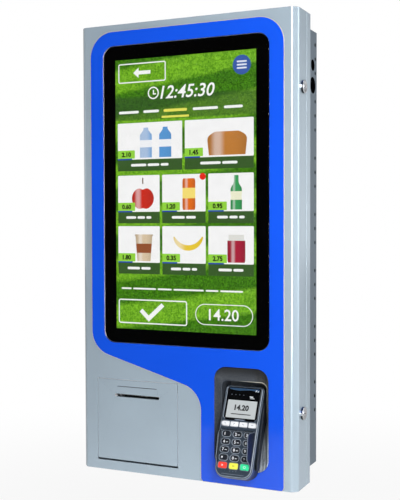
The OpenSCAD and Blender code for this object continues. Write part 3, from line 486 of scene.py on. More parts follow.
# camera looking along (-sin yaw cos down, cos yaw cos down, -sin down), then rolled
def addCamera(c):
    yaw, down, roll = radians(c["yaw"]), radians(c["down"]), radians(c["roll"])
    ahead = Vector((-sin(yaw) * cos(down), cos(yaw) * cos(down), -sin(down)))
    level = Vector((cos(yaw), sin(yaw), 0))
    upward = level.cross(ahead)
    right = level * cos(roll) + upward * sin(roll)
    top = upward * cos(roll) - level * sin(roll)
    data = bpy.data.cameras.new("camera")
    data.lens, data.sensor_width = c["lens"], c["sensor"]
    data.clip_end = c["farthest"]
    camera = addObject("camera", data)
    camera.matrix_world = standing(c["place"], right, top, -ahead)
    bpy.context.scene.camera = camera


# azimuths are from the front, heights above the object's middle; "size" is width and height
lamps = {
    "keyLamp": {"azimuth": 33, "height": 0.25, "distance": 1.35, "size": (0.5, 1.3), "watts": 17},
    "bendLamp": {"azimuth": 100, "height": 0.1, "distance": 2.0, "size": (1.4, 2.2), "watts": 7},
    "fillLamp": {"azimuth": -80, "height": 0.8, "distance": 2.6, "size": (1.2, 1.8), "watts": 3},
    "lowLamp": {"azimuth": 24, "height": -0.95, "distance": 2.3, "size": (1.9, 0.5), "watts": 8},
    "backLamp": {"azimuth": -150, "height": 1.2, "distance": 2.6, "size": (1.4, 1.6), "watts": 14},
}


# a softbox that faces the object's middle
def addLamp(name, lamp):
    data = bpy.data.lights.new(name, "AREA")
    data.shape = "RECTANGLE"
    data.size, data.size_y = lamp["size"]
    data.energy = lamp["watts"]
    softbox = addObject(name, data)
    turn, distance = radians(lamp["azimuth"]), lamp["distance"]
    place = Vector((sin(turn) * distance, -cos(turn) * distance, lamp["height"]))
    softbox.matrix_world = (Matrix.Translation(place)
                            @ (-place).to_track_quat("-Z", "Y").to_matrix().to_4x4())


# pairs are where a smooth step starts and ends, in a mirrored direction's own X, Y or Z
stage = {"floor": -0.78, "floorFront": -1.95, "reach": 14,
         "shadow": 2.4, "shadowFade": (0.35, 1), "shadowShare": 0.14,
         "ambient": 0.37,  # the world's light on the object
         "front": 0.015, "behind": (-0.75, 0.1),  # what is mirrored in front, and where it ends
         "pale": 0.85, "darker": 0.7, "darkerUp": (-0.1, 0.35),
         "strip": 1.3, "stripFront": (-0.14, 0.04), "stripBack": (0.45, 0.65),
         "stripFoot": (-0.22, -0.02)}


def addWorld(s):
    bpy.context.scene.world = bpy.data.worlds.new("studio")
    f = Finish("studio", bpy.context.scene.world)
    x, y, z = f.axes()
    # what gloss and glass show: pale behind and beside the object, dim in front of it
    behind = y.ramp(*s["behind"])
    pale = s["pale"] - s["darker"] * z.ramp(*s["darkerUp"])
    mirrored = s["front"] * (1 - behind) + pale * behind
    # a tall bright strip at the right, which the folds along the door's edge show
    strip = y.ramp(*s["stripFront"]) * (1 - y.ramp(*s["stripBack"]))
    strip = strip * x.above(0) * z.ramp(*s["stripFoot"])
    mirrored = mirrored + strip * s["strip"]
    camera, glossy, through = [f.node("LightPath", out="Is " + kind + " Ray")
                               for kind in ("Camera", "Glossy", "Transmission")]
    shown = (glossy + through).clipped()
    light = s["ambient"] * (1 - shown) + mirrored * shown
    light = light * (1 - camera) + camera
    sky = f.node("Background", {}, {"Color": (1, 1, 1), "Strength": light})
    f.node("OutputWorld", {}, {"Surface": sky})


# white all over but for the shadow round the object's foot
def addFloor(s):
    f = Finish("floorWhite")
    base = f.mix(f.noise(1.5, 2), (0.90, 0.90, 0.90), (0.92, 0.92, 0.92))
    seen = f.node("LightPath", out="Is Camera Ray")
    x, y, _ = f.axes()
    far = ((x * x + y * y).root() / s["shadow"]).ramp(*s["shadowFade"])
    matt = f.node("BsdfPrincipled", {}, {"Base Color": base, "Roughness": 0.9})
    white = f.node("Emission", {}, {"Color": (1, 1, 1), "Strength": 1.0})
    share = seen * (far * s["shadowShare"] + (1 - s["shadowShare"]))
    surface = f.node("MixShader", {}, {0: share, 1: matt, 2: white})
    f.node("OutputMaterial", {}, {"Surface": surface})
    reach, z, front = s["reach"], s["floor"], s["floorFront"]
    mesh = bpy.data.meshes.new("floor")
    corners = [(-reach, front, z), (reach, front, z), (reach, reach, z), (-reach, reach, z)]
    mesh.from_pydata(corners, [], [(0, 1, 2, 3)])
    mesh.materials.append(f.material)
    floor = addObject("floor", mesh)


addCamera(cameraSetup)
for lampName, lampSetup in lamps.items():
    addLamp(lampName, lampSetup)
addWorld(stage)
addFloor(stage)
bpy.context.scene.view_settings.view_transform = "Standard"
print("camera, lamps and stage placed")


doorLip = {"back": 2.2 * mm, "thick": 0.5 * mm, "lap": 2.2 * mm, "clear": 0.15 * mm,
           "rise": 0.7 * mm, "pivot": 17 * mm}


# thin strips behind the gap round the flap, standing for the door's return lip but white where the
# sheet is silver, as painted light that brightens the shaded seams: at its sides on the door,
# lapping the flap below its pivot alone, and along its top on the flap, low enough to pass the
# door's edge
def addSheetLip(p):
    low, high = span("printer_flap")
    depths = nodePoints("front_door")[:, 1].min() + p["back"] + np.array([0, p["thick"]])
    lap, clear = p["lap"], p["clear"]
    foot, pivot, top = low[2], high[2] - p["pivot"], high[2] + lap
    sides = []
    for inwards, x in ((1, low[0]), (-1, high[0])):
        outer, inner, past = x - inwards * lap, x + inwards * lap, x - inwards * clear
        sides.append(slab([(outer, foot), (inner, foot), (inner, pivot), (past, pivot),
                           (past, top), (outer, top)], depths))
    left, right, under, over = low[0] + lap, high[0] - lap, high[2] - lap, high[2] + p["rise"]
    strip = slab([(left, under), (right, under), (right, over), (left, over)], depths)
    # white here is painted light in the seams
    addPiece("flap_stop", joined(sides), whitePlasticAndPaintedLight, "door")
    addPiece("flap_lip", strip, whitePlasticAndPaintedLight, "flap")


slotLine = {"inset": 0.03 * mm, "thick": 0.1 * mm}


# shadow line on the floor of the groove pressed into the flap above its slot
def addSlotLine(p):
    points = nodePoints("printer_flap")
    _, grooveDepth, *_ = np.unique(np.round(points[:, 1], 6))  # next behind the flap's front
    floor = points[np.abs(points[:, 1] - grooveDepth) < hair]
    low, high = floor.min(0), floor.max(0)
    wide, tall = (high - low)[[0, 2]] - 2 * p["inset"]
    outline = roundRect(wide, tall, tall / 2) + ((low + high) / 2)[[0, 2]]
    line = slab(outline, (low[1] - p["thick"], low[1] - hair))
    addPiece("slot_line", line, dimGrey, "flap")


slotEnds = {"thick": 0.2 * mm, "front": 0.3 * mm, "deep": 10 * mm, "play": 0.02 * mm, "steps": 12}


# pale linings round both ends of the slot, white as a painted highlight where the end walls catch
# the light:
# a flat ring's section of (radius, depth) turned half round, P(i, j) = (x + r_j cos a_i, y_j, z +
# r_j sin a_i)
def addSlotEnds(p):
    front = nodePoints("printer_flap")[:, 1].min()
    loops = sorted(flatLoops("printer_flap", 1, front), key=lambda points: -np.ptp(points[:, 0]))
    low, high = loops[1].min(0), loops[1].max(0)
    outer = (high[1] - low[1]) / 2 - p["play"]
    inner, near, far = outer - p["thick"], front + p["front"], front + p["deep"]
    radius, depth = np.array([(outer, near), (outer, far), (inner, far), (inner, near)]).T
    middle = low[1] + outer + p["play"]
    linings = []
    for x, turn in ((high[0] - outer, 0), (low[0] + outer, pi)):
        angle = np.linspace(-pi / 2, pi / 2, p["steps"] + 1)[:, None] + turn
        points = [x + radius * np.cos(angle), depth + 0 * angle, middle + radius * np.sin(angle)]
        linings.append(gridMesh(np.stack(points, -1)))
    addPiece("slot_ends", joined(linings), whitePlasticAndPaintedLight, "flap")


softened("front_door", silverPaint, 0.5 * mm)
softened("cabinet_rim", silverPaint)
softened("printer_flap", silverPaint)
addSheetLip(doorLip)
addSlotLine(slotLine)
addSlotEnds(slotEnds)
softened("blue_surround", blueGloss, 0.45 * mm, 3)
print("door and cabinet dressed")


# the black linings and their lips are painted shade
ventLining = {"wall": 0.06 * mm, "deep": 6 * mm, "play": 0.02 * mm,
              "small": 3 * mm, "lip": 1.5 * mm,  # holes smaller than this get a wider lip
              "largest": 20 * mm, "fewest": 8, "uneven": 0.02}


# centre and radius of each round hole on the plane x
def roundHoles(node, x, p):
    holes = []
    for points in flatLoops(node, 0, x):
        centre = (points.min(0) + points.max(0)) / 2
        radii = np.linalg.norm(points - centre, axis=1)
        evenly = np.ptp(radii) < p["uneven"] * radii.mean()
        if len(points) >= p["fewest"] and evenly and radii.mean() < p["largest"]:
            holes.append((*centre, radii.mean()))
    return holes


# near-black linings of the round holes in the cabinet's sides, painted shade for their dark
# insides, with wider black lips round the small holes as painted shade on the sheet; found from the
# sides' own edges
def addVentLinings(p):
    low, high = span("rear_cabinet")
    lip, foot = p["wall"], p["wall"] - p["deep"]
    linings = []
    for side, outer in ((1, high[0]), (-1, low[0])):
        for y, z, r in roundHoles("rear_cabinet", outer, p):
            tube = r - p["play"]
            inside = tube - p["wall"]
            rim = r + p["lip"] if r < p["small"] else tube
            profile = [(rim, hair), (rim, lip), (inside, lip), (inside, foot), (hair, foot),
                       (hair, -p["deep"]), (tube, -p["deep"]), (tube, hair)]
            linings.append(turned(profile, (outer, y, z), (side, 0, 0), 32))
    addPiece("vent_linings", joined(linings), paintedShadeBlack, "cabinet")


addVentLinings(ventLining)
print("vents lined")


glassSize = {"back": 0.1 * mm, "edge": 0.6 * mm, "mask": 0.07 * mm, "radius": 23 * mm,
             "litSunk": 0.5 * mm, "litRadius": 0.4 * mm, "steps": 12}


def clearGlass():
    f = Finish("clearGlass")
    film = f.noise(waves=30, detail=2)
    return f.shade({"Base Color": (1, 1, 1), "Roughness": film.around(0.015, 0.005),
                    "IOR": 1.46, "Transmission Weight": 1.0})


# plate with rounded rims, its outline's inset and depth following a quarter circle at both
# faces, and the border printed behind it, open over the lit area, whose corners it returns
def addGlass(g):
    low, high = span("screen_glass")
    size, middle = (high - low)[[0, 2]], ((low + high) / 2)[[0, 2]]
    front, back, e = low[1], high[1] - g["back"], g["edge"]
    # a flat ring inside each rim keeps the large faces plane in their shading
    profile = ([(2 * e, front)] + arc((e, front + e), e, 270, 180)
               + arc((e, back - e), e, 180, 90) + [(2 * e, back)])
    rows = [upright(roundRect(*(size - 2 * inset), g["radius"] - inset, g["steps"]) + middle, y)
            for inset, y in profile]
    addPiece("front_glass", gridMesh(np.array(rows)), clearGlass(), "door", ("screen_glass",))
    panel = nodePoints("display_panel")
    litDepth = panel[:, 1].min() + g["litSunk"]
    corners = panel[np.abs(panel[:, 1] - litDepth) < 2 * hair]
    litLow, litHigh = corners.min(0), corners.max(0)
    outer = roundRect(*(size - 2 * e), g["radius"], g["steps"]) + middle
    inner = roundRect(*(litHigh - litLow)[[0, 2]], g["litRadius"], g["steps"]) + middle
    near, far = back + hair, back + g["mask"]
    rows = [upright(outer, near), upright(outer, far), upright(inner, far), upright(inner, near)]
    ink = flatBlack("maskInk", 200, (0.0004, 0.0004, 0.0006), (0.0008, 0.0008, 0.0012), rough=0.6)
    addPiece("glass_border", gridMesh(np.array(rows), closeRows=True), ink, "door")
    return litLow, litHigh


litLow, litHigh = addGlass(glassSize)
print("glass and border made")


# places are in millimetres right of and below the picture's top left corner
picture = {"step": 0.05 * mm, "thick": 0.02 * mm, "size": (296.5, 527), "inset": 0.2,
           "margin": 5, "gap": 5.5, "rows": (124, 226, 325), "columns": (2, 3, 3),
           "tileHeight": 71, "tileRadius": 2, "goodsUp": 3, "bold": 0.045,
           "caption": 22, "captionDown": 0.3, "captionRadius": 0.5,
           # each caption's words as shares of its tile's width
           "words": ((0.24, 0.18, 0.12), (0.30, 0.22)), "wordGap": 3, "wordHeight": 5,
           "tag": (38, 16), "tagUp": 18, "tagRadius": 1.5, "figure": 9.5, "figureUp": 10,
           "strip": (32, 2.4), "stripUp": 2, "stripRadius": 0.3,
           "shy": 0.01,  # how much a round end's radius is under half its width
           "prices": ("2.10", "1.45", "0.60", "1.20", "0.95", "1.80", "0.35", "2.75")}
layers = {"ground": 0, "caption": 1, "tile": 1, "goods": 2, "label": 3, "tag": 4, "mark": 5}


# a layer's back, each layer a step nearer than the one before
def layerDepth(layer):
    return litHigh[1] - picture["step"] * (layers[layer] + 1)


# outlines, each N x 2, as thin plates at one layer; a pair of outlines makes a ring
def addPlates(name, outlines, layer, finish):
    back = layerDepth(layer)
    front = back - picture["thick"]
    meshes = []
    for outline in outlines:
        placed = [litLow[0], litHigh[2]] + np.array(outline) * [mm, -mm]
        if placed.ndim == 2:
            meshes.append(slab(placed, (front, back)))
        else:
            outer, inner = placed
            rows = [upright(outer, back), upright(outer, front),
                    upright(inner, front), upright(inner, back)]
            meshes.append(gridMesh(np.array(rows), closeRows=True))
    addPiece(name, joined(meshes), finish, "door")


# plain figures as a mesh, upright in X and Z, as high as said and centred on the origin
def figures(text, height, slant, thick, bold):
    data = bpy.data.curves.new("figures", "FONT")
    data.body = text
    data.shear = slant
    data.offset = bold
    data.extrude = 0.01
    data.resolution_u = 3
    carrier = addObject("figures", data)
    bpy.context.view_layer.update()
    mesh = bpy.data.meshes.new_from_object(
        carrier.evaluated_get(bpy.context.evaluated_depsgraph_get()))
    bpy.data.objects.remove(carrier)
    points = meshPoints(mesh)
    low, high = points.min(0), points.max(0)
    size = height / (high[1] - low[1])
    flat = (points - (low + high) / 2) * [size, size, thick / (high[2] - low[2])]
    mesh.vertices.foreach_set("co", np.stack([flat[:, 0], -flat[:, 2], flat[:, 1]], 1).ravel())
    return cleanMesh(mesh, near=0.1 * tiny)


# figures on one layer, each entry a text with the place of its middle, height, slant and boldness
def addFigures(name, entries, layer, finish):
    meshes = []
    for text, x, down, height, slant, bold in entries:
        mesh = figures(text, height * mm, slant, picture["thick"], bold)
        mesh.transform(Matrix.Translation((litLow[0] + x * mm, layerDepth(layer),
                                           litHigh[2] - down * mm)))
        meshes.append(mesh)
    addPiece(name, joined(meshes), finish, "door")


def boxAt(x, down, width, height, radius):
    return roundRect(width, height, radius) + [x + width / 2, down + height / 2]


# bar with round ends, its middle as far down as said
def barAt(x, down, width, height):
    return boxAt(x, down - height / 2, width, height, height / 2 - picture["shy"])


def discAt(x, down, width, steps):
    return roundRect(width, width, width / 2 - picture["shy"], steps) + [x, down]


# a band round a rounded rectangle, as its outer and inner outlines
def bandAt(x, down, width, height, radius, thick):
    inner = roundRect(width - 2 * thick, height - 2 * thick, radius - thick)
    return np.stack([roundRect(width, height, radius), inner]) + [x + width / 2, down + height / 2]


# tones run from a blade's foot to its tip; "dim" is where the strip under the heading lies
leaves = {"stripe": 92, "lean": 140, "edge": 0.35,
          "blades": 330, "tufts": 430, "patches": 70,  # so many a metre
          "tuftShare": 0.55, "patchShare": 0.22, "dimShare": 0.62, "dim": (70, 78, 116, 121),
          "sunlit": (tone(52, 122, 6), tone(152, 218, 52)),
          "shaded": (tone(6, 50, 2), tone(88, 160, 26)),
          "patchTone": tone(40, 104, 16), "dimTone": tone(46, 74, 38)}


# leafy ground: soft sloping stripes, fine blades and a dim strip under the heading
def leafGround(p):
    f = Finish("leafGround")
    x, _, z = f.axes()
    down = (litHigh[2] - z) / mm
    stripe = ((down + x * p["lean"]) * (2 * pi / p["stripe"])).sine().ramp(-p["edge"], p["edge"])
    blades = f.noise(p["blades"], 5, (1, 1, 0.55), 0.75).ramp(0.28, 0.72)
    tufts = f.node("SeparateColor", {}, {0: f.cells(p["tufts"], "Color")}, out="Red")
    blades = blades * (1 - p["tuftShare"]) + tufts * p["tuftShare"]
    colour = f.mix(stripe, f.mix(blades, *p["shaded"]), f.mix(blades, *p["sunlit"]))
    patch = f.noise(p["patches"]).ramp(0.3, 0.7)
    colour = f.mix(patch * p["patchShare"], colour, p["patchTone"])
    start, full, fading, end = p["dim"]
    dim = down.ramp(start, full) * (1 - down.ramp(fading, end))
    return f.glow(f.mix(dim * p["dimShare"], colour, p["dimTone"]))


def bell(t, middle, width):
    return np.exp(-((t - middle) / width) ** 2)


# half widths of turned goods over the height t, 0 at the foot and 1 at the top
halves = {
    # a waist, and a shoulder that narrows to the neck as a logistic curve
    "bottle": lambda t: 0.40 + 0.60 / (1 + np.exp((t - 0.70) / 0.035)) - 0.10 * bell(t, 0.38, 0.05),
    # straight, drawn in at the foot and a little more at the top
    "can": lambda t: 1 - 0.14 * np.exp(-t / 0.03) - 0.16 * np.exp(-(1 - t) / 0.03),
    # widening upwards to a lid
    "cup": lambda t: 0.72 + 0.22 * t + 0.10 * bell(t, 0.97, 0.02),
    # straight, with a narrower lid
    "jar": lambda t: np.where(t < 0.8, 1 - 0.1 * np.exp(-t / 0.04), 0.86),
    # straight, with a sloping roof and a cap
    "cartons": lambda t: np.where(t < 0.76, 1, np.where(t < 0.93, 1 - (t - 0.76) * 3.6, 0.40)),
    # widening upwards, then domed as a cubic
    "loaf": lambda t: 1 - 0.12 * (1 - t) - 0.45 * np.clip((t - 0.55) / 0.45, 0, 1) ** 3,
}


# outline of turned goods: x = +- half(t) width / 2, up one side and down the other
def goods(half, x, down, width, height, steps=48):
    t = np.linspace(0, 1, steps)
    side = half(t) * width / 2
    right = np.stack([x + side, down - t * height], 1)
    left = np.stack([x - side, down - t * height], 1)[::-1]
    return np.concatenate([right, left])


# apple: r(a) = R (1 + 0.05 cos 2a) with a dimple at the top and the foot
def apple(x, down, size, steps=72):
    a = fullTurn(steps)
    top = bell(np.angle(np.exp(1j * (a - pi / 2))), 0, 0.32)
    foot = bell(np.angle(np.exp(1j * (a + pi / 2))), 0, 0.30)
    r = size / 2 * (1 + 0.05 * np.cos(2 * a) - 0.20 * top - 0.12 * foot)
    return np.stack([x + r * np.cos(a), down - size / 2 - r * np.sin(a)], 1)


# crescent: an arc of radius 0.62 of its size, thick in its middle and thin at its ends
def crescent(x, down, size, start=200, end=340, steps=40):
    a = np.radians(np.linspace(start, end, steps))
    middle = size * 0.62
    half = size * (0.05 + 0.15 * np.sin(np.linspace(0, pi, steps)) ** 0.7) / 2
    outer, inner = [np.stack([x + r * np.cos(a), down - size * 0.4 - r * np.sin(a)], 1)
                    for r in (middle + half, middle - half)]
    return np.concatenate([outer, inner[::-1]])


rounding = {"dark": 0.45, "shine": 0.35, "shineLeft": 0.35, "shineEdge": (0.05, 0.3)}


# rounds goods in their picture: darker towards both sides of the middle x, with a narrow shine
# left of it, and a printed band, where one is given as its top, foot and colour
def roundShade(middle, width, band, p):
    def shade(f, colour):
        x, _, z = f.axes()
        off = (x - (litLow[0] + middle * mm)) / (width * mm / 2)
        side = (off * off).clipped()
        colour = f.mix(side * p["dark"], colour, (0.02, 0.02, 0.02))
        shine = 1 - abs(off + p["shineLeft"]).ramp(*p["shineEdge"])
        colour = f.mix(shine * p["shine"], colour, (1, 1, 1))
        if band:
            down = (litHigh[2] - z) / mm
            colour = f.mix(down.above(band[0]) * down.below(band[1]), colour, band[2])
        return colour
    return shade


# goods, one a tile: "at" is their middle's share of the tile's width, "round" how wide their
# shading is, and "band" a printed band's top, foot and colour below the tile's top
shelf = {
    "cartons": {"at": 0.60, "size": (26, 58), "beside": (-22, 20), "finish": "cartonBlue",
                "colour": tone(92, 156, 216), "round": 150, "band": (34, 48, tone(244, 246, 250))},
    "loaf": {"at": 0.62, "size": (84, 44), "finish": "loafBrown", "colour": tone(196, 128, 58),
             "round": 110},
    "apple": {"outline": apple, "at": 0.60, "down": 68, "size": 46, "finish": "appleRed",
              "colour": tone(206, 48, 34), "round": 60},
    "can": {"at": 0.62, "size": (27, 60), "finish": "canOrange", "colour": tone(232, 112, 30),
            "round": 30, "band": (26, 46, tone(250, 226, 120))},
    "bottle": {"at": 0.62, "size": (23, 64), "finish": "bottleGreen", "colour": tone(60, 160, 92),
               "round": 26, "band": (34, 50, tone(240, 240, 210))},
    "cup": {"at": 0.62, "size": (40, 52), "finish": "cupCream", "colour": tone(222, 200, 168),
            "round": 44, "band": (34, 52, tone(150, 84, 50))},
    "crescent": {"outline": crescent, "at": 0.60, "down": 30, "size": 52,
                 "finish": "crescentYellow", "colour": tone(240, 206, 60), "round": 120},
    "jar": {"at": 0.62, "size": (36, 52), "finish": "jarRed", "colour": tone(176, 34, 60),
            "round": 38, "band": (16, 27, tone(226, 226, 220))},
}
stem = {"of": "apple", "size": (2.4, 12), "down": 5, "radius": 1}


def addGoods(p, places):
    foot = p["tileHeight"] - p["goodsUp"]
    for (x, down, wide), (name, item) in zip(places, shelf.items()):
        middle = x + wide * item["at"]
        if name in halves:
            outlines = [goods(halves[name], middle + off, down + foot, *item["size"])
                        for off in item.get("beside", (0,))]
        else:
            outlines = [item["outline"](middle, down + item["down"], item["size"])]
        band = item.get("band")
        band = band and (down + band[0], down + band[1], band[2])
        shade = roundShade(middle, item["round"], band, rounding)
        addPlates("goods_" + name, outlines, "goods", lit(item["finish"], item["colour"], shade))
        if name == stem["of"]:
            width, height = stem["size"]
            outline = boxAt(middle - width / 2, down + stem["down"], width, height, stem["radius"])
            addPlates("goods_stem", [outline], "label", lit("stemBrown", tone(96, 64, 30)))


# the tiles with their captions and price tags; returns the captions' words
def addTiles(p, places):
    tiles, captions, words, tags, strips, prices = [], [], [], [], [], []
    for k, (x, down, wide) in enumerate(places):
        foot = down + p["tileHeight"]
        tiles.append(boxAt(x, down, wide, p["tileHeight"], p["tileRadius"]))
        captions.append(boxAt(x, foot + p["captionDown"], wide, p["caption"], p["captionRadius"]))
        shares = p["words"][k % 2]
        start = x + wide / 2 - (sum(shares) * wide + p["wordGap"] * (len(shares) - 1)) / 2
        for share in shares:
            words.append(barAt(start, foot + p["caption"] / 2, share * wide, p["wordHeight"]))
            start += share * wide + p["wordGap"]
        tags.append(boxAt(x, foot - p["tagUp"], *p["tag"], p["tagRadius"]))
        strips.append(boxAt(x, foot - p["stripUp"], *p["strip"], p["stripRadius"]))
        prices.append((p["prices"][k], x + p["tag"][0] / 2, foot - p["figureUp"], p["figure"], 0,
                       p["bold"]))
    addPlates("picture_tiles", tiles, "tile", lit("tileWhite", tone(252, 252, 252)))
    addPlates("picture_captions", captions, "caption", lit("captionGreen", tone(58, 92, 42)))
    addPlates("picture_tags", tags, "tag", lit("tagGreen", tone(150, 216, 66)))
    addPlates("picture_strips", strips, "mark", lit("stripBlue", tone(40, 70, 190)))
    addFigures("picture_prices", prices, "mark", lit("figureBlack", tone(16, 22, 12)))
    return words


# all that is drawn on the picture but for its tiles and goods
marks = {
    # x, down, width, height, radius, thickness
    "bands": ((7, 8, 104, 38, 4, 2.2), (5, 468, 150, 48, 5, 2.4), (172, 472, 118, 40, 19.9, 1.6),
              (72, 56, 24, 24, 11.9, 2.6)),
    # x, down to the middle, width, height
    "bars": ((83, 66, 2.6, 8), (83, 70, 7, 2.6)),
    "badgeBars": ((258, 21, 20, 3), (258, 27, 20, 3), (258, 33, 20, 3)),
    "openTab": (106, 103, 50, 5.4),
    # words as x and width
    "tabs": {"down": 103, "height": 5, "words": ((8, 44), (62, 34), (168, 52), (232, 38))},
    "notes": {"down": 447, "height": 3.2,
              "words": ((12, 22), (38, 50), (92, 30), (126, 64), (194, 26), (224, 46))},
    # x, down, width, height, radius
    "openLine": (102, 113, 58, 4, 0.4),
    # corners as x and down
    "arrow": ((40, 27), (52, 17), (52, 23.5), (78, 23.5), (78, 30.5), (52, 30.5), (52, 37)),
    "tick": ((52, 492), (58, 486), (72, 499), (100, 474), (106, 480), (72, 511)),
    # text, x and down of its middle, height, slant, boldness
    "times": (("12:45:30", 156.25, 68, 25, 0.22, 0.012), ("14.20", 231, 492, 22, 0, 0.012)),
    # x and down of its middle, width, steps of each quarter
    "badge": (268, 27, 36, 12),
    # on which tile, how far its middle is in from the corner and down, width, steps
    "alert": (3, 6, 5, 13, 8),
}


def addMarks(m, words, places):
    white = words + [bandAt(*band) for band in m["bands"]] + [barAt(*bar) for bar in m["bars"]]
    white += [barAt(x, line["down"], wide, line["height"])
              for line in (m["tabs"], m["notes"]) for x, wide in line["words"]]
    white += [m["arrow"], m["tick"]]
    addPlates("picture_marks", white, "label", lit("markWhite", tone(250, 252, 250)))
    addPlates("picture_tab", [barAt(*m["openTab"]), boxAt(*m["openLine"])], "label",
              lit("tabYellow", tone(236, 232, 96)))
    addFigures("picture_time", m["times"], "mark", lit("figureWhite", tone(252, 252, 252)))
    addPlates("picture_badge", [discAt(*m["badge"])], "label",
              lit("badgeBlue", tone(58, 92, 170)))
    addPlates("picture_badge_bars", [barAt(*bar) for bar in m["badgeBars"]], "mark",
              lit("badgeWhite", tone(232, 238, 250)))
    tile, inwards, drop, width, steps = m["alert"]
    x, down, wide = places[tile]
    addPlates("picture_alert", [discAt(x + wide - inwards, down + drop, width, steps)], "tag",
              lit("alertRed", tone(236, 44, 30)))


def addPicture(p):
    width, height = p["size"]
    inset, thin = p["inset"], 2 * p["inset"]
    addPlates("picture_ground", [boxAt(inset, inset, width - thin, height - thin, 0.3)], "ground",
              leafGround(leaves))
    # each tile as its x, how far down it is and its width
    places = []
    for down, count in zip(p["rows"], p["columns"]):
        wide = (width - 2 * p["margin"] - (count - 1) * p["gap"]) / count
        places += [(p["margin"] + k * (wide + p["gap"]), down, wide) for k in range(count)]
    words = addTiles(p, places)
    addMarks(marks, words, places)
    addGoods(p, places)


addPicture(picture)
print("picture made")


lockShape = {"round": 0.7 * mm, "dish": 0.5 * mm, "clear": 0.2 * mm, "chamfer": 0.4 * mm,
             "land": 0.8 * mm, "mouth": 0.2 * mm, "behind": 1 * mm}


# lock's head and barrel: a turned profile with a rounded, slightly dished face
def addLock(name, body, p):
    low, high = span(name)
    plugLow, plugHigh = span(name.replace("barrel", "plug"))
    _, y, z = (low + high) / 2
    head = (high[2] - low[2]) / 2
    bore = (plugHigh[2] - plugLow[2]) / 2 + p["clear"]
    wall = nodePoints("front_door")[:, 0].max()
    points = nodePoints(name)
    behind = points[points[:, 0] < wall - p["behind"]]
    barrel = np.ptp(behind[:, 2]) / 2
    foot, face, r = low[0], high[0], p["round"]
    dished, chamfer = face - p["dish"], p["chamfer"]
    profile = ([(bore, foot), (barrel - chamfer, foot), (barrel, foot + chamfer), (barrel, wall),
                (head, wall)] + arc((head - r, face - r), r, 0, 90)
               + [(bore + p["land"], dished), (bore, dished - p["mouth"])])
    finish = chrome(name + "Chrome", (z, head, face - r))
    addPiece(name + "_head", turned(profile, (0, y, z), (1, 0, 0)), finish, body, (name,))


for lockName in ("upper_lock", "lower_lock"):
    addLock(lockName + "_barrel", "door", lockShape)
    softened(lockName + "_plug", chromePlate, 0.3 * mm)
print("locks made")


pressAxis = {j["child"]: -Vector(j["axis"]) for j in frame["joints"] if j["type"] == "slide"}


# right, up and out of the face that a key is pressed into, as rows: local points @ rows are
# back in the frame, and points @ rows.T are local ones
def leaningPlane(body):
    right, out = np.array([1.0, 0, 0]), np.array(pressAxis[body])
    return np.array([right, np.cross(out, right), out])


keypad = leaningPlane("key_5_body")
screen = leaningPlane("soft_key_1_body")
frontPlane = np.array([[1.0, 0, 0], [0, 0, 1], [0, -1, 0]])


# a node's lowest and highest places along right, up and out of a plane
def leaningSpan(node, plane):
    local = nodePoints(node) @ plane.T
    return local.min(0), local.max(0)


def raised(outline, level):
    return np.column_stack([outline, np.full(len(outline), level)])


# closed plate: one outline at two levels over a leaning plane
def leaningSlab(outline, levels, plane):
    return gridMesh(np.array([raised(outline, level) for level in levels]) @ plane)


# soft cap that fills a leaning box: outlines shrink by a quarter circle at the rim, then crown
# as 1 - s^2 to the middle, where s is their share of the rim's size
def softCap(low, high, radius, rim, crown, plane, least=0.2 * mm, steps=4):
    size, middle = (high - low)[:2], (low + high)[:2] / 2
    top = high[2]
    sections = [(0, low[2]), (0, top - rim - crown)]
    sections += [(rim * (1 - cos(a)), top - crown - rim + rim * sin(a))
                 for a in np.linspace(0, pi / 2, steps + 1)[1:]]
    rows = []
    for inset, level in sections:
        corners = np.maximum(np.subtract(radius, inset), least)
        outline = roundRect(*(size - 2 * inset), corners, 6)
        rows.append(raised(outline + middle, level))
    for share in (0.8, 0.6, 0.4, 0.2, 0.04):
        rows.append(raised(outline * share + middle, top - crown * share ** 2))
    return gridMesh(np.array(rows) @ plane)


# thin tube round a closed path: the path plus r (cos a side + sin a out)
def ringTube(outline, level, radius, plane, steps=6):
    path = raised(outline, level)
    ahead = np.roll(path, -1, 0) - np.roll(path, 1, 0)
    ahead /= np.linalg.norm(ahead, axis=1)[:, None]
    out = np.array([0, 0, 1])
    side = np.cross(ahead, out)
    rows = np.array([path + radius * (cos(a) * side + sin(a) * out)
                     for a in fullTurn(steps)])
    return gridMesh(rows @ plane, closeRows=True)


# short rounded bars let into a leaning plane, each in millimetres right of and above a place,
# with its length, width and turn in degrees
def barsOn(place, level, plane, bars, sunk=0.1 * mm, proud=0.06 * mm):
    meshes = []
    for x, y, length, width, turn in bars:
        a = radians(turn)
        outline = roundRect(length * mm, width * mm, width * mm / 2 - hair, 4)
        outline = outline @ np.array([[cos(a), sin(a)], [-sin(a), cos(a)]])
        outline = outline + place[:2] + [x * mm, y * mm]
        meshes.append(leaningSlab(outline, (level - sunk, level + proud), plane))
    return joined(meshes)


# figures standing on a leaning plane
def figuresOn(place, level, plane, text, height, thick, bold):
    right, up, out = plane
    mesh = figures(text, height, 0, thick, bold)
    middle = np.array([place[0], place[1], level]) @ plane
    mesh.transform(standing(middle, right, -out, up))
    return mesh


redKey = plastic("redKey", tone(250, 66, 54), 0.34, **fineGrain)
yellowKey = plastic("yellowKey", tone(240, 240, 84), 0.34, **fineGrain)
greenKey = plastic("greenKey", tone(52, 224, 156), 0.34, **fineGrain)
keyWhite = plastic("keyWhite", tone(236, 240, 246), 0.42, **fineGrain)
keyGrey = plastic("keyGrey", tone(122, 132, 146), 0.42, **fineGrain)
keyInk = plastic("keyInk", tone(18, 20, 24), 0.5, 2400, 0.01 * mm, None)
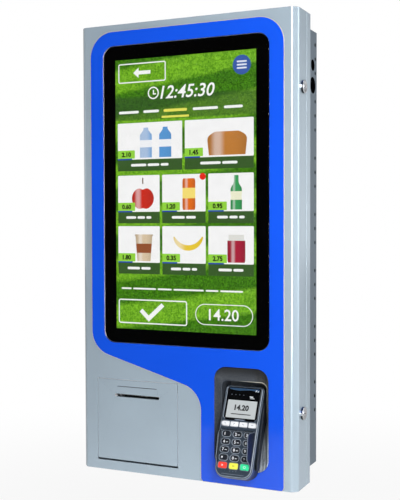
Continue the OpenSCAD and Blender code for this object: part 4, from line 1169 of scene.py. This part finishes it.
# paler tones for the rounded edges of cover and shield and for the keys' well rims: painted
# highlight
edgeSheen = plastic("edgeSheen", tone(122, 134, 148), 0.3, coat=0.6, **thinPrint)
rimSheen = plastic("rimSheen", tone(158, 168, 180), 0.35, coat=0.4, **thinPrint)
# blue-grey for the painted reflection across the lens
lensReflectionBlue = gloss("lensReflectionBlue", tone(52, 78, 108), rough=0.1)

keySetup = {"radius": 4.2 * mm, "rim": 0.9 * mm, "crown": 0.35 * mm, "colourRadius": 2.8 * mm,
            "softRadius": 1.6 * mm, "softEnd": 4.4 * mm,
            "figure": 5.6 * mm, "sign": 4 * mm, "figureThick": 0.16 * mm, "bold": 0.03,
            # shares of a key's width: its figure stands left and its letters right
            "figureLeft": 0.16, "lettersRight": 0.2,
            "letters": {"down": 0.6, "length": 4.2, "width": 1.1}, "sunk": 0.02 * mm,
            "ring": (4.4 * mm, 3.6 * mm, 1.7 * mm), "ringWire": 0.35 * mm}
keyFinish = {"key_red": redKey, "key_yellow": yellowKey, "key_green": greenKey}
keyFigure = {"key_dot": "#", "key_star": "*", **{f"key_{k}": str(k) for k in range(10)}}
lettered = [f"key_{k}" for k in "023456789"]
# marks on the other keys: right, up, length, width, turn
keyMarks = {"key_red": ((0, 0, 4.2, 0.8, 45), (0, 0, 4.2, 0.8, -45)),
            "key_yellow": ((0, 0, 4.4, 0.8, 0),),
            "soft_key_1": ((0, 0, 4, 0.9, 0),), "soft_key_2": ((0, 0, 4, 0.9, 30),),
            "soft_key_3": ((0, 0, 4, 0.9, -30),), "soft_key_4": ((0, 0, 4, 0.9, 0),)}
markFinish = {"key_red": keyWhite, "key_yellow": keyInk}


# a key's cap, with its figure and letters or its mark
def addKey(name, k):
    soft = name.startswith("soft")
    plane = screen if soft else keypad
    low, high = leaningSpan(name, plane)
    middle, wide = (low + high) / 2, high[0] - low[0]
    radius = k["softRadius"] if soft else k["colourRadius"] if name in keyFinish else k["radius"]
    # the outer soft keys are rounder at the lens's sides
    if name == "soft_key_1":
        radius = np.array([radius, k["softEnd"], k["softEnd"], radius])
    elif name == "soft_key_4":
        radius = np.array([k["softEnd"], radius, radius, k["softEnd"]])
    finish = keyFinish.get(name, whitePlasticAndPaintedLight if soft else keyPlastic)
    body = name + "_body"
    addPiece(name + "_cap", softCap(low, high, radius, k["rim"], k["crown"], plane), finish, body,
             (name,), 60)
    face = high[2] - k["sunk"]
    if name in keyFigure:
        left = middle - [wide * k["figureLeft"], 0, 0]
        height = k["figure"] if name[4:].isdigit() else k["sign"]
        parts = [figuresOn(left, face, plane, keyFigure[name], height, k["figureThick"], k["bold"])]
        if name in lettered:
            line = k["letters"]
            bar = (wide * k["lettersRight"] / mm, -line["down"], line["length"], line["width"], 0)
            parts.append(barsOn(middle, face, plane, [bar]))
        addPiece(name + "_figure", joined(parts), keyWhite, body)
    elif name == "key_green":
        ring = ringTube(roundRect(*k["ring"]) + middle[:2], face, k["ringWire"], plane)
        addPiece(name + "_mark", ring, keyWhite, body)
    else:
        addPiece(name + "_mark", barsOn(middle, face, plane, keyMarks[name]),
                 markFinish.get(name, keyGrey), body)


terminal = {"baseEdge": 0.6 * mm, "coverEdge": 0.9 * mm, "shieldEdge": 0.6 * mm,
            "keyRise": 1.4 * mm, "wellGap": 1.1 * mm, "wellRound": 1 * mm, "wellBead": 0.5 * mm,
            "wellUp": 0.05 * mm, "lensRadius": 5 * mm, "lensRim": 0.5 * mm, "lensSunk": 0.4 * mm,
            "lit": (58.8 * mm, 33.8 * mm, 0.8 * mm), "litDown": 25.4 * mm,
            "printed": (-0.3 * mm, 0.02 * mm), "face": 0.06 * mm,
            "amount": {"text": "14.20", "height": 11 * mm, "thick": 0.05 * mm, "bold": 0.045,
                       "up": 3 * mm},
            "feetDown": 1.5 * mm}
# the painted reflection across the lens's top, a band in millimetres: its lower edge is a wave on a
# slope
lensReflection = {"wide": 60, "top": 2.2, "foot": 4.2, "fall": 3.6, "wave": 1.6, "steps": 24}
# bars right of and above a place, in millimetres, with their length, width and turn
terminalBars = {
    "rule": ((0, -9.5, 40, 1.6, 0),),
    "lens_dots": tuple((x, -15, 3, 1.6, 0) for x in (-24, -16, -8, 0)),
    "lens_feet": ((-20, 0, 19, 2.6, 0), (20, 0, 19, 2.6, 0)),
    "lens_tab": ((0, 0, 17, 1.8, 0),),
    "lens_marks": ((24, -5.5, 4.5, 1.5, 60), (28, -6.5, 3, 1.3, 30), (16, -17.5, 7, 1.6, 0),
                   (18, -20.5, 9, 0.9, 0)),
    "foot_marks": (*((x, -9.4, 1.5, 1.2, 0) for x in (-6, 0, 6)), (0, -15, 44, 0.7, 0)),
}


# pale rims round the keys' wells: painted highlight along their edges
def addKeyRims(t, k):
    level = leaningSpan("key_5", keypad)[1][2] - t["keyRise"]
    rings = []
    for name in keyFigure:
        low, high = leaningSpan(name, keypad)
        width, height, _ = high - low + 2 * t["wellGap"]
        outline = roundRect(width, height, k["radius"] + t["wellRound"], 6)
        rings.append(ringTube(outline + (low + high)[:2] / 2, level + t["wellUp"], t["wellBead"],
                              keypad))
    addPiece("key_rims", joined(rings), rimSheen, "door")


# lens, lit area with what it shows, and the band of painted reflection above it
def addLens(t):
    low, high = leaningSpan("terminal_screen", screen)
    cap = softCap(low, high, t["lensRadius"], t["lensRim"], 0, screen)
    addPiece("terminal_lens", cap, blackGloss, "door", ("terminal_screen",), 50)
    glass, middle = high[2], (low[0] + high[0]) / 2
    printed = [glass + step for step in t["printed"]]
    wide, tall, radius = t["lit"]
    place = np.array([middle, high[1] - t["litDown"] - tall / 2])
    area = leaningSlab(roundRect(wide, tall, radius, 4) + place, printed, screen)
    addPiece("terminal_lit", area, lit("terminalWhite", tone(196, 202, 204)), "door")
    shown = t["amount"]
    amount = figuresOn(place + [0, shown["up"]], glass + t["face"], screen, shown["text"],
                       shown["height"], shown["thick"], shown["bold"])
    rule = barsOn(place, glass + hair, screen, terminalBars["rule"])
    addPiece("terminal_amount", joined([amount, rule]), keyInk, "door")
    b = lensReflection
    share = np.linspace(0, 1, b["steps"])
    x = (share - 0.5) * b["wide"] * mm
    wave = b["foot"] + b["fall"] * share + b["wave"] * np.sin(2 * pi * share)
    upper = np.stack([x, np.full(b["steps"], -b["top"] * mm)], 1)
    lower = np.stack([x, -wave * mm], 1)
    outline = np.concatenate([upper, lower[::-1]]) + [middle, high[1]]
    addPiece("lens_reflection", leaningSlab(outline, printed, screen), lensReflectionBlue, "door")


def addTerminal(t, k):
    softened("terminal_base", charcoalPlastic, t["baseEdge"])
    for name, finish, width in (("terminal_cover", slatePlastic, t["coverEdge"]),
                                ("privacy_shield", shieldPlastic, t["shieldEdge"])):
        # the rounded edges take the paler edge finish: painted highlight
        piece = softened(name, finish, width, 3, 40)
        piece.data.materials.append(edgeSheen)
        piece.modifiers["edges"].material = 1
    for body in pressAxis:
        addKey(body.removesuffix("_body"), k)
    addKeyRims(t, k)
    addLens(t)
    low, high = leaningSpan("terminal_screen", screen)
    face = high[2] + t["face"]
    middle = (low[0] + high[0]) / 2
    top, under = np.array([middle, high[1]]), np.array([middle, low[1] - t["feetDown"]])
    keyLow, keyHigh = leaningSpan("key_yellow", keypad)
    foot, cover = (keyLow + keyHigh) / 2, keyHigh[2] - t["keyRise"]
    for name, place, level, plane, finish in (
            ("lens_dots", top, face, screen, dimGrey),
            ("lens_feet", under, face + t["lensSunk"], screen, blackGloss),
            ("lens_tab", under, face + t["lensSunk"], screen, keyGrey),
            ("lens_marks", top, face, screen, keyWhite),
            ("foot_marks", foot, cover, keypad, keyGrey)):
        addPiece(name, barsOn(place, level, plane, terminalBars[name]), finish, "door")


addTerminal(terminal, keySetup)
print("terminal made")


pocketShape = {"flange": 12 * mm, "radius": 24 * mm, "sheet": 2 * mm, "slope": 16 * mm,
               # inset and depth of the mouth's rounded rim, in millimetres
               "rim": ((0.01, 0.5), (0.3, 0.12), (0.7, 0), (1.3, 0.2)),
               "slopeInset": 1.5 * mm, "slopeStart": 0.8 * mm,
               # shares of the slope: its first outline, where it starts to bend over, how deep
               "first": 0.06, "bend": 0.88, "bendDeep": 0.3,
               "gland": 9 * mm, "glandDown": 26.5 * mm, "soft": 0.5 * mm, "inside": 1 * mm,
               "bead": 0.8 * mm, "beadIn": 0.2 * mm, "steps": 12}
# the tray's tones are painted light: painted shade at the mouth's top and at the upper right, paler
# towards the hole, and pale streaks of painted reflection at the lower right; "beside" is the strip
# along the mouth's right side, "lower" where its streaks start, "glint" how the hole's edge
# brightens to the right and upwards
pocketLook = {"deep": tone(8, 14, 22), "shallow": tone(50, 57, 67), "dark": tone(6, 7, 9),
              "reflectionStreak": tone(192, 202, 212), "speck": tone(96, 98, 98),
              "rightShadeShare": 0.8, "reflectionStreakShare": (0.2, 1.0), "speckShare": 0.5,
              "beside": (34 * mm, 12 * mm), "lower": (120 * mm, 55 * mm),
              "glintTones": (tone(70, 77, 86), tone(206, 203, 190)),
              "glintRight": (-25 * mm, 45 * mm), "glintUp": (0, 40 * mm),
              "rough": 0.35, "pits": 900, "pitDeep": 0.05 * mm}


# a convex outline drawn in towards a centre: r(f) = min over a of (h(a) - inset) / cos(a - f),
# where h(a) is how far the points reach along a
def drawnIn(points, centre, inset, steps=288, least=0.1):
    turn, fine = fullTurn(steps), fullTurn(3 * steps)
    reach = ((points - centre) @ np.stack([np.cos(fine), np.sin(fine)])).max(0) - inset
    along = np.cos(fine[None, :] - turn[:, None])
    radius = np.where(along > least, reach / np.maximum(along, least), np.inf).min(1)
    return centre + radius[:, None] * np.stack([np.cos(turn), np.sin(turn)], 1)


# the tray's plastic with painted light: painted shade at the mouth's top, paler towards the hole,
# painted shade at the upper right and pale streaks of painted reflection at the lower right
def pocketFinish(mouth, rear, p):
    f = Finish("pocketPlasticAndPaintedLight")
    x, _, z = f.axes()
    mouthTop, holeTop = mouth[:, 1].max(), rear[:, 1].max()
    # painted shade at the mouth's top, lighter towards the hole
    shade = ((mouthTop - z) / (mouthTop - holeTop)).ramp(0.15, 1.0)
    body = f.mix(shade, p["deep"], p["shallow"])
    wide, fading = p["beside"]
    beside = (x - (mouth[:, 0].max() - wide)).ramp(0, fading)
    down, fading = p["lower"]
    lower = 1 - (z - (holeTop - down)).ramp(0, fading)
    reflectionStreaks = f.noise(260, 3, (1, 0.3, 0.05), 0.6).ramp(0.44, 0.56)
    least, most = p["reflectionStreakShare"]
    # painted shade at the upper right, and streaks of painted reflection at the lower right
    body = f.mix(beside * (1 - lower) * p["rightShadeShare"], body, p["dark"])
    body = f.mix(beside * lower * (least + (most - least) * reflectionStreaks), body, p["reflectionStreak"])
    speck = f.noise(waves=420, rough=0.7).ramp(0.4, 0.65)
    body = f.mix(speck * shade * p["speckShare"], body, p["speck"])
    return f.shade({"Base Color": body, "Roughness": f.noise(waves=18).around(p["rough"], 0.05),
                    "Normal": f.bump(f.cells(p["pits"]), p["pitDeep"], 0.4)})


# the hole's rounded edge, brighter towards the lamp's side
def glintFinish(middle, p):
    f = Finish("pocketGlint")
    x, _, z = f.axes()
    side = (x - middle[0]).ramp(*p["glintRight"]) * (z - middle[1]).ramp(*p["glintUp"])
    return f.shade({"Base Color": f.mix(side, *p["glintTones"]),
                    "Roughness": f.noise(waves=300, detail=2).around(p["rough"], 0.05)})


# tray: outlines carried from the rim down the slope, along the walls and back outside
def addPocket(p, look):
    points = nodePoints("terminal_pocket")
    low, high = points.min(0), points.max(0)
    front, back = low[1], high[1]
    size, middle = (high - low)[[0, 2]], ((low + high) / 2)[[0, 2]]
    mouth = roundRect(*(size - 2 * p["flange"]), p["radius"], p["steps"]) + middle
    flange = roundRect(*size, p["radius"] + p["flange"], p["steps"]) + middle
    rear = points[points[:, 1] > back - hair][:, [0, 2]]
    hole = (rear.min(0) + rear.max(0)) / 2
    wall = back - points[points[:, 1] < back - 10 * hair][:, 1].max()

    def loop(outline, inset, y, centre=middle):
        return upright(drawnIn(outline, centre, inset), y)

    def between(share, y):
        ends = loop(mouth, p["slopeInset"], y), loop(rear, wall, y, hole)
        return ends[0] * (1 - share) + ends[1] * share

    rows = [loop(mouth, inset * mm, front + drop * mm) for inset, drop in p["rim"]]
    # the slope bends over smoothly into the wall at its inner end
    start, slopeEnd, bend = front + p["slopeStart"], front + p["slope"], p["bend"]
    rows += [between(share, start + (slopeEnd - start) * share)
             for share in np.linspace(p["first"], bend, 8)]
    rows += [between(bend + (1 - bend) * sin(a),
                     start + (slopeEnd - start) * (bend + p["bendDeep"] * (1 - cos(a))))
             for a in np.linspace(0, pi / 2, 5)[1:]]
    gland = roundRect(2 * p["gland"], 2 * p["gland"], p["gland"], p["steps"])
    gland = gland + [middle[0], rear[:, 1].max() - p["glandDown"]]
    glandAt, soft, inside = gland.mean(0), p["soft"], p["inside"]
    plateFront = front + 2 * p["sheet"]
    rows += [loop(rear, wall, back - wall - inside, hole),
             loop(rear, wall + inside, back - wall, hole),
             loop(gland, 0, back - wall, glandAt), loop(gland, 0, back, glandAt),
             loop(rear, soft, back, hole), loop(rear, 0, back - soft, hole),
             loop(rear, 0, slopeEnd, hole),
             loop(mouth, 0, plateFront + wall), loop(flange, 0, plateFront + wall),
             loop(flange, 0, plateFront), loop(mouth, hair, plateFront)]
    addPiece("pocket_tray", gridMesh(np.array(rows), closeRows=True),
             pocketFinish(mouth, rear, look), "door", ("terminal_pocket",), 50)
    # the rounded edge between slope and hole, which catches the light
    edge = drawnIn(rear, hole, wall - p["beadIn"])
    addPiece("pocket_edge", ringTube(edge, -slopeEnd, p["bead"], frontPlane),
             glintFinish(hole, look), "door")


addPocket(pocketShape, pocketLook)
print("pocket made")


surroundEdge = {"bead": 0.5 * mm, "proud": 0.1 * mm}
# cream for the painted highlight along the surround's edge
paintedEdgeHighlight = plastic("paintedEdgeHighlight", tone(222, 210, 158), 0.4, 2400, 0.01 * mm, None)


# pale bead along the surround's outer edge, a painted highlight where the edge catches the light,
# kept inside the frame's own lowest edge
def addSurroundEdge(p):
    front = nodePoints("blue_surround")[:, 1].min()
    loop = max(flatLoops("blue_surround", 1, front), key=lambda points: np.ptp(points[:, 0]))
    loop[:, 1] = np.maximum(loop[:, 1], cadBox[0][2] + p["bead"])
    bead = ringTube(loop, p["proud"] - p["bead"] - front, p["bead"], frontPlane)
    addPiece("surround_edge", bead, paintedEdgeHighlight, "door")


addSurroundEdge(surroundEdge)
print("surround's edge made")


# receipt paper; on the roll, the wound edge's fine rings of so many metres round a centre
def paper(name, centre=None, ring=0.9 * mm):
    f = Finish(name)
    height = fibre = f.noise(waves=1200)
    body = f.mix(fibre, tone(236, 236, 232), tone(250, 250, 248))
    if centre is not None:
        _, y, z = f.axes()
        radius = ((y - centre[1]) ** 2 + (z - centre[2]) ** 2).root()
        wound = (radius * (2 * pi / ring)).sine() * 0.5 + 0.5
        body = f.mix(wound * 0.16, body, tone(196, 196, 190))
        height = wound * 0.5 + fibre
    return f.shade({"Base Color": body, "Roughness": 0.7,
                    "Normal": f.bump(height, 0.02 * mm, 0.5)})


def anodised(name):
    f = Finish(name)
    fine = f.noise(waves=800)
    return f.shade({"Base Color": f.mix(fine, tone(66, 70, 76), tone(84, 88, 94)),
                    "Metallic": 0.85, "Roughness": fine.around(0.41, 0.05),
                    "Normal": f.bump(fine, 0.02 * mm, 0.4, f.edges(0.4 * mm))})


# the rest of the frame's nodes keep their shape and get their finish
rollLow, rollHigh = span("paper_roll")
carried = {
    greyPaint: ("rear_cabinet",),
    zinc: ("glass_frame", "display_rails", "flap_brackets", "printer_chassis",
           "terminal_cradle", "power_supply", "lock_strikers", "upper_lock_cam",
           "lower_lock_cam", "lock_nuts"),
    brightSteel: ("hinge_cabinet_leaf", "hinge_door_leaf", "hinge_pin", "printer_motor",
                  "motor_pinion"),
    charcoalPlastic: ("slot_bezel", "print_head", "magnetic_catch", "power_inlet",
                      "roll_spool"),
    blackRubber: ("platen_roller",),
    whitePlasticAndPaintedLight: ("platen_gear",),
    blackGloss: ("display_panel",),
    paper("paperStrip"): ("paper_strip",),
    paper("paperRoll", (rollLow + rollHigh) / 2): ("paper_roll",),
    anodised("anodisedGrey"): ("kiosk_computer",),
}
for finish, members in carried.items():
    for member in members:
        nodes[member].data.materials.clear()
        nodes[member].data.materials.append(finish)
print("frame finished")
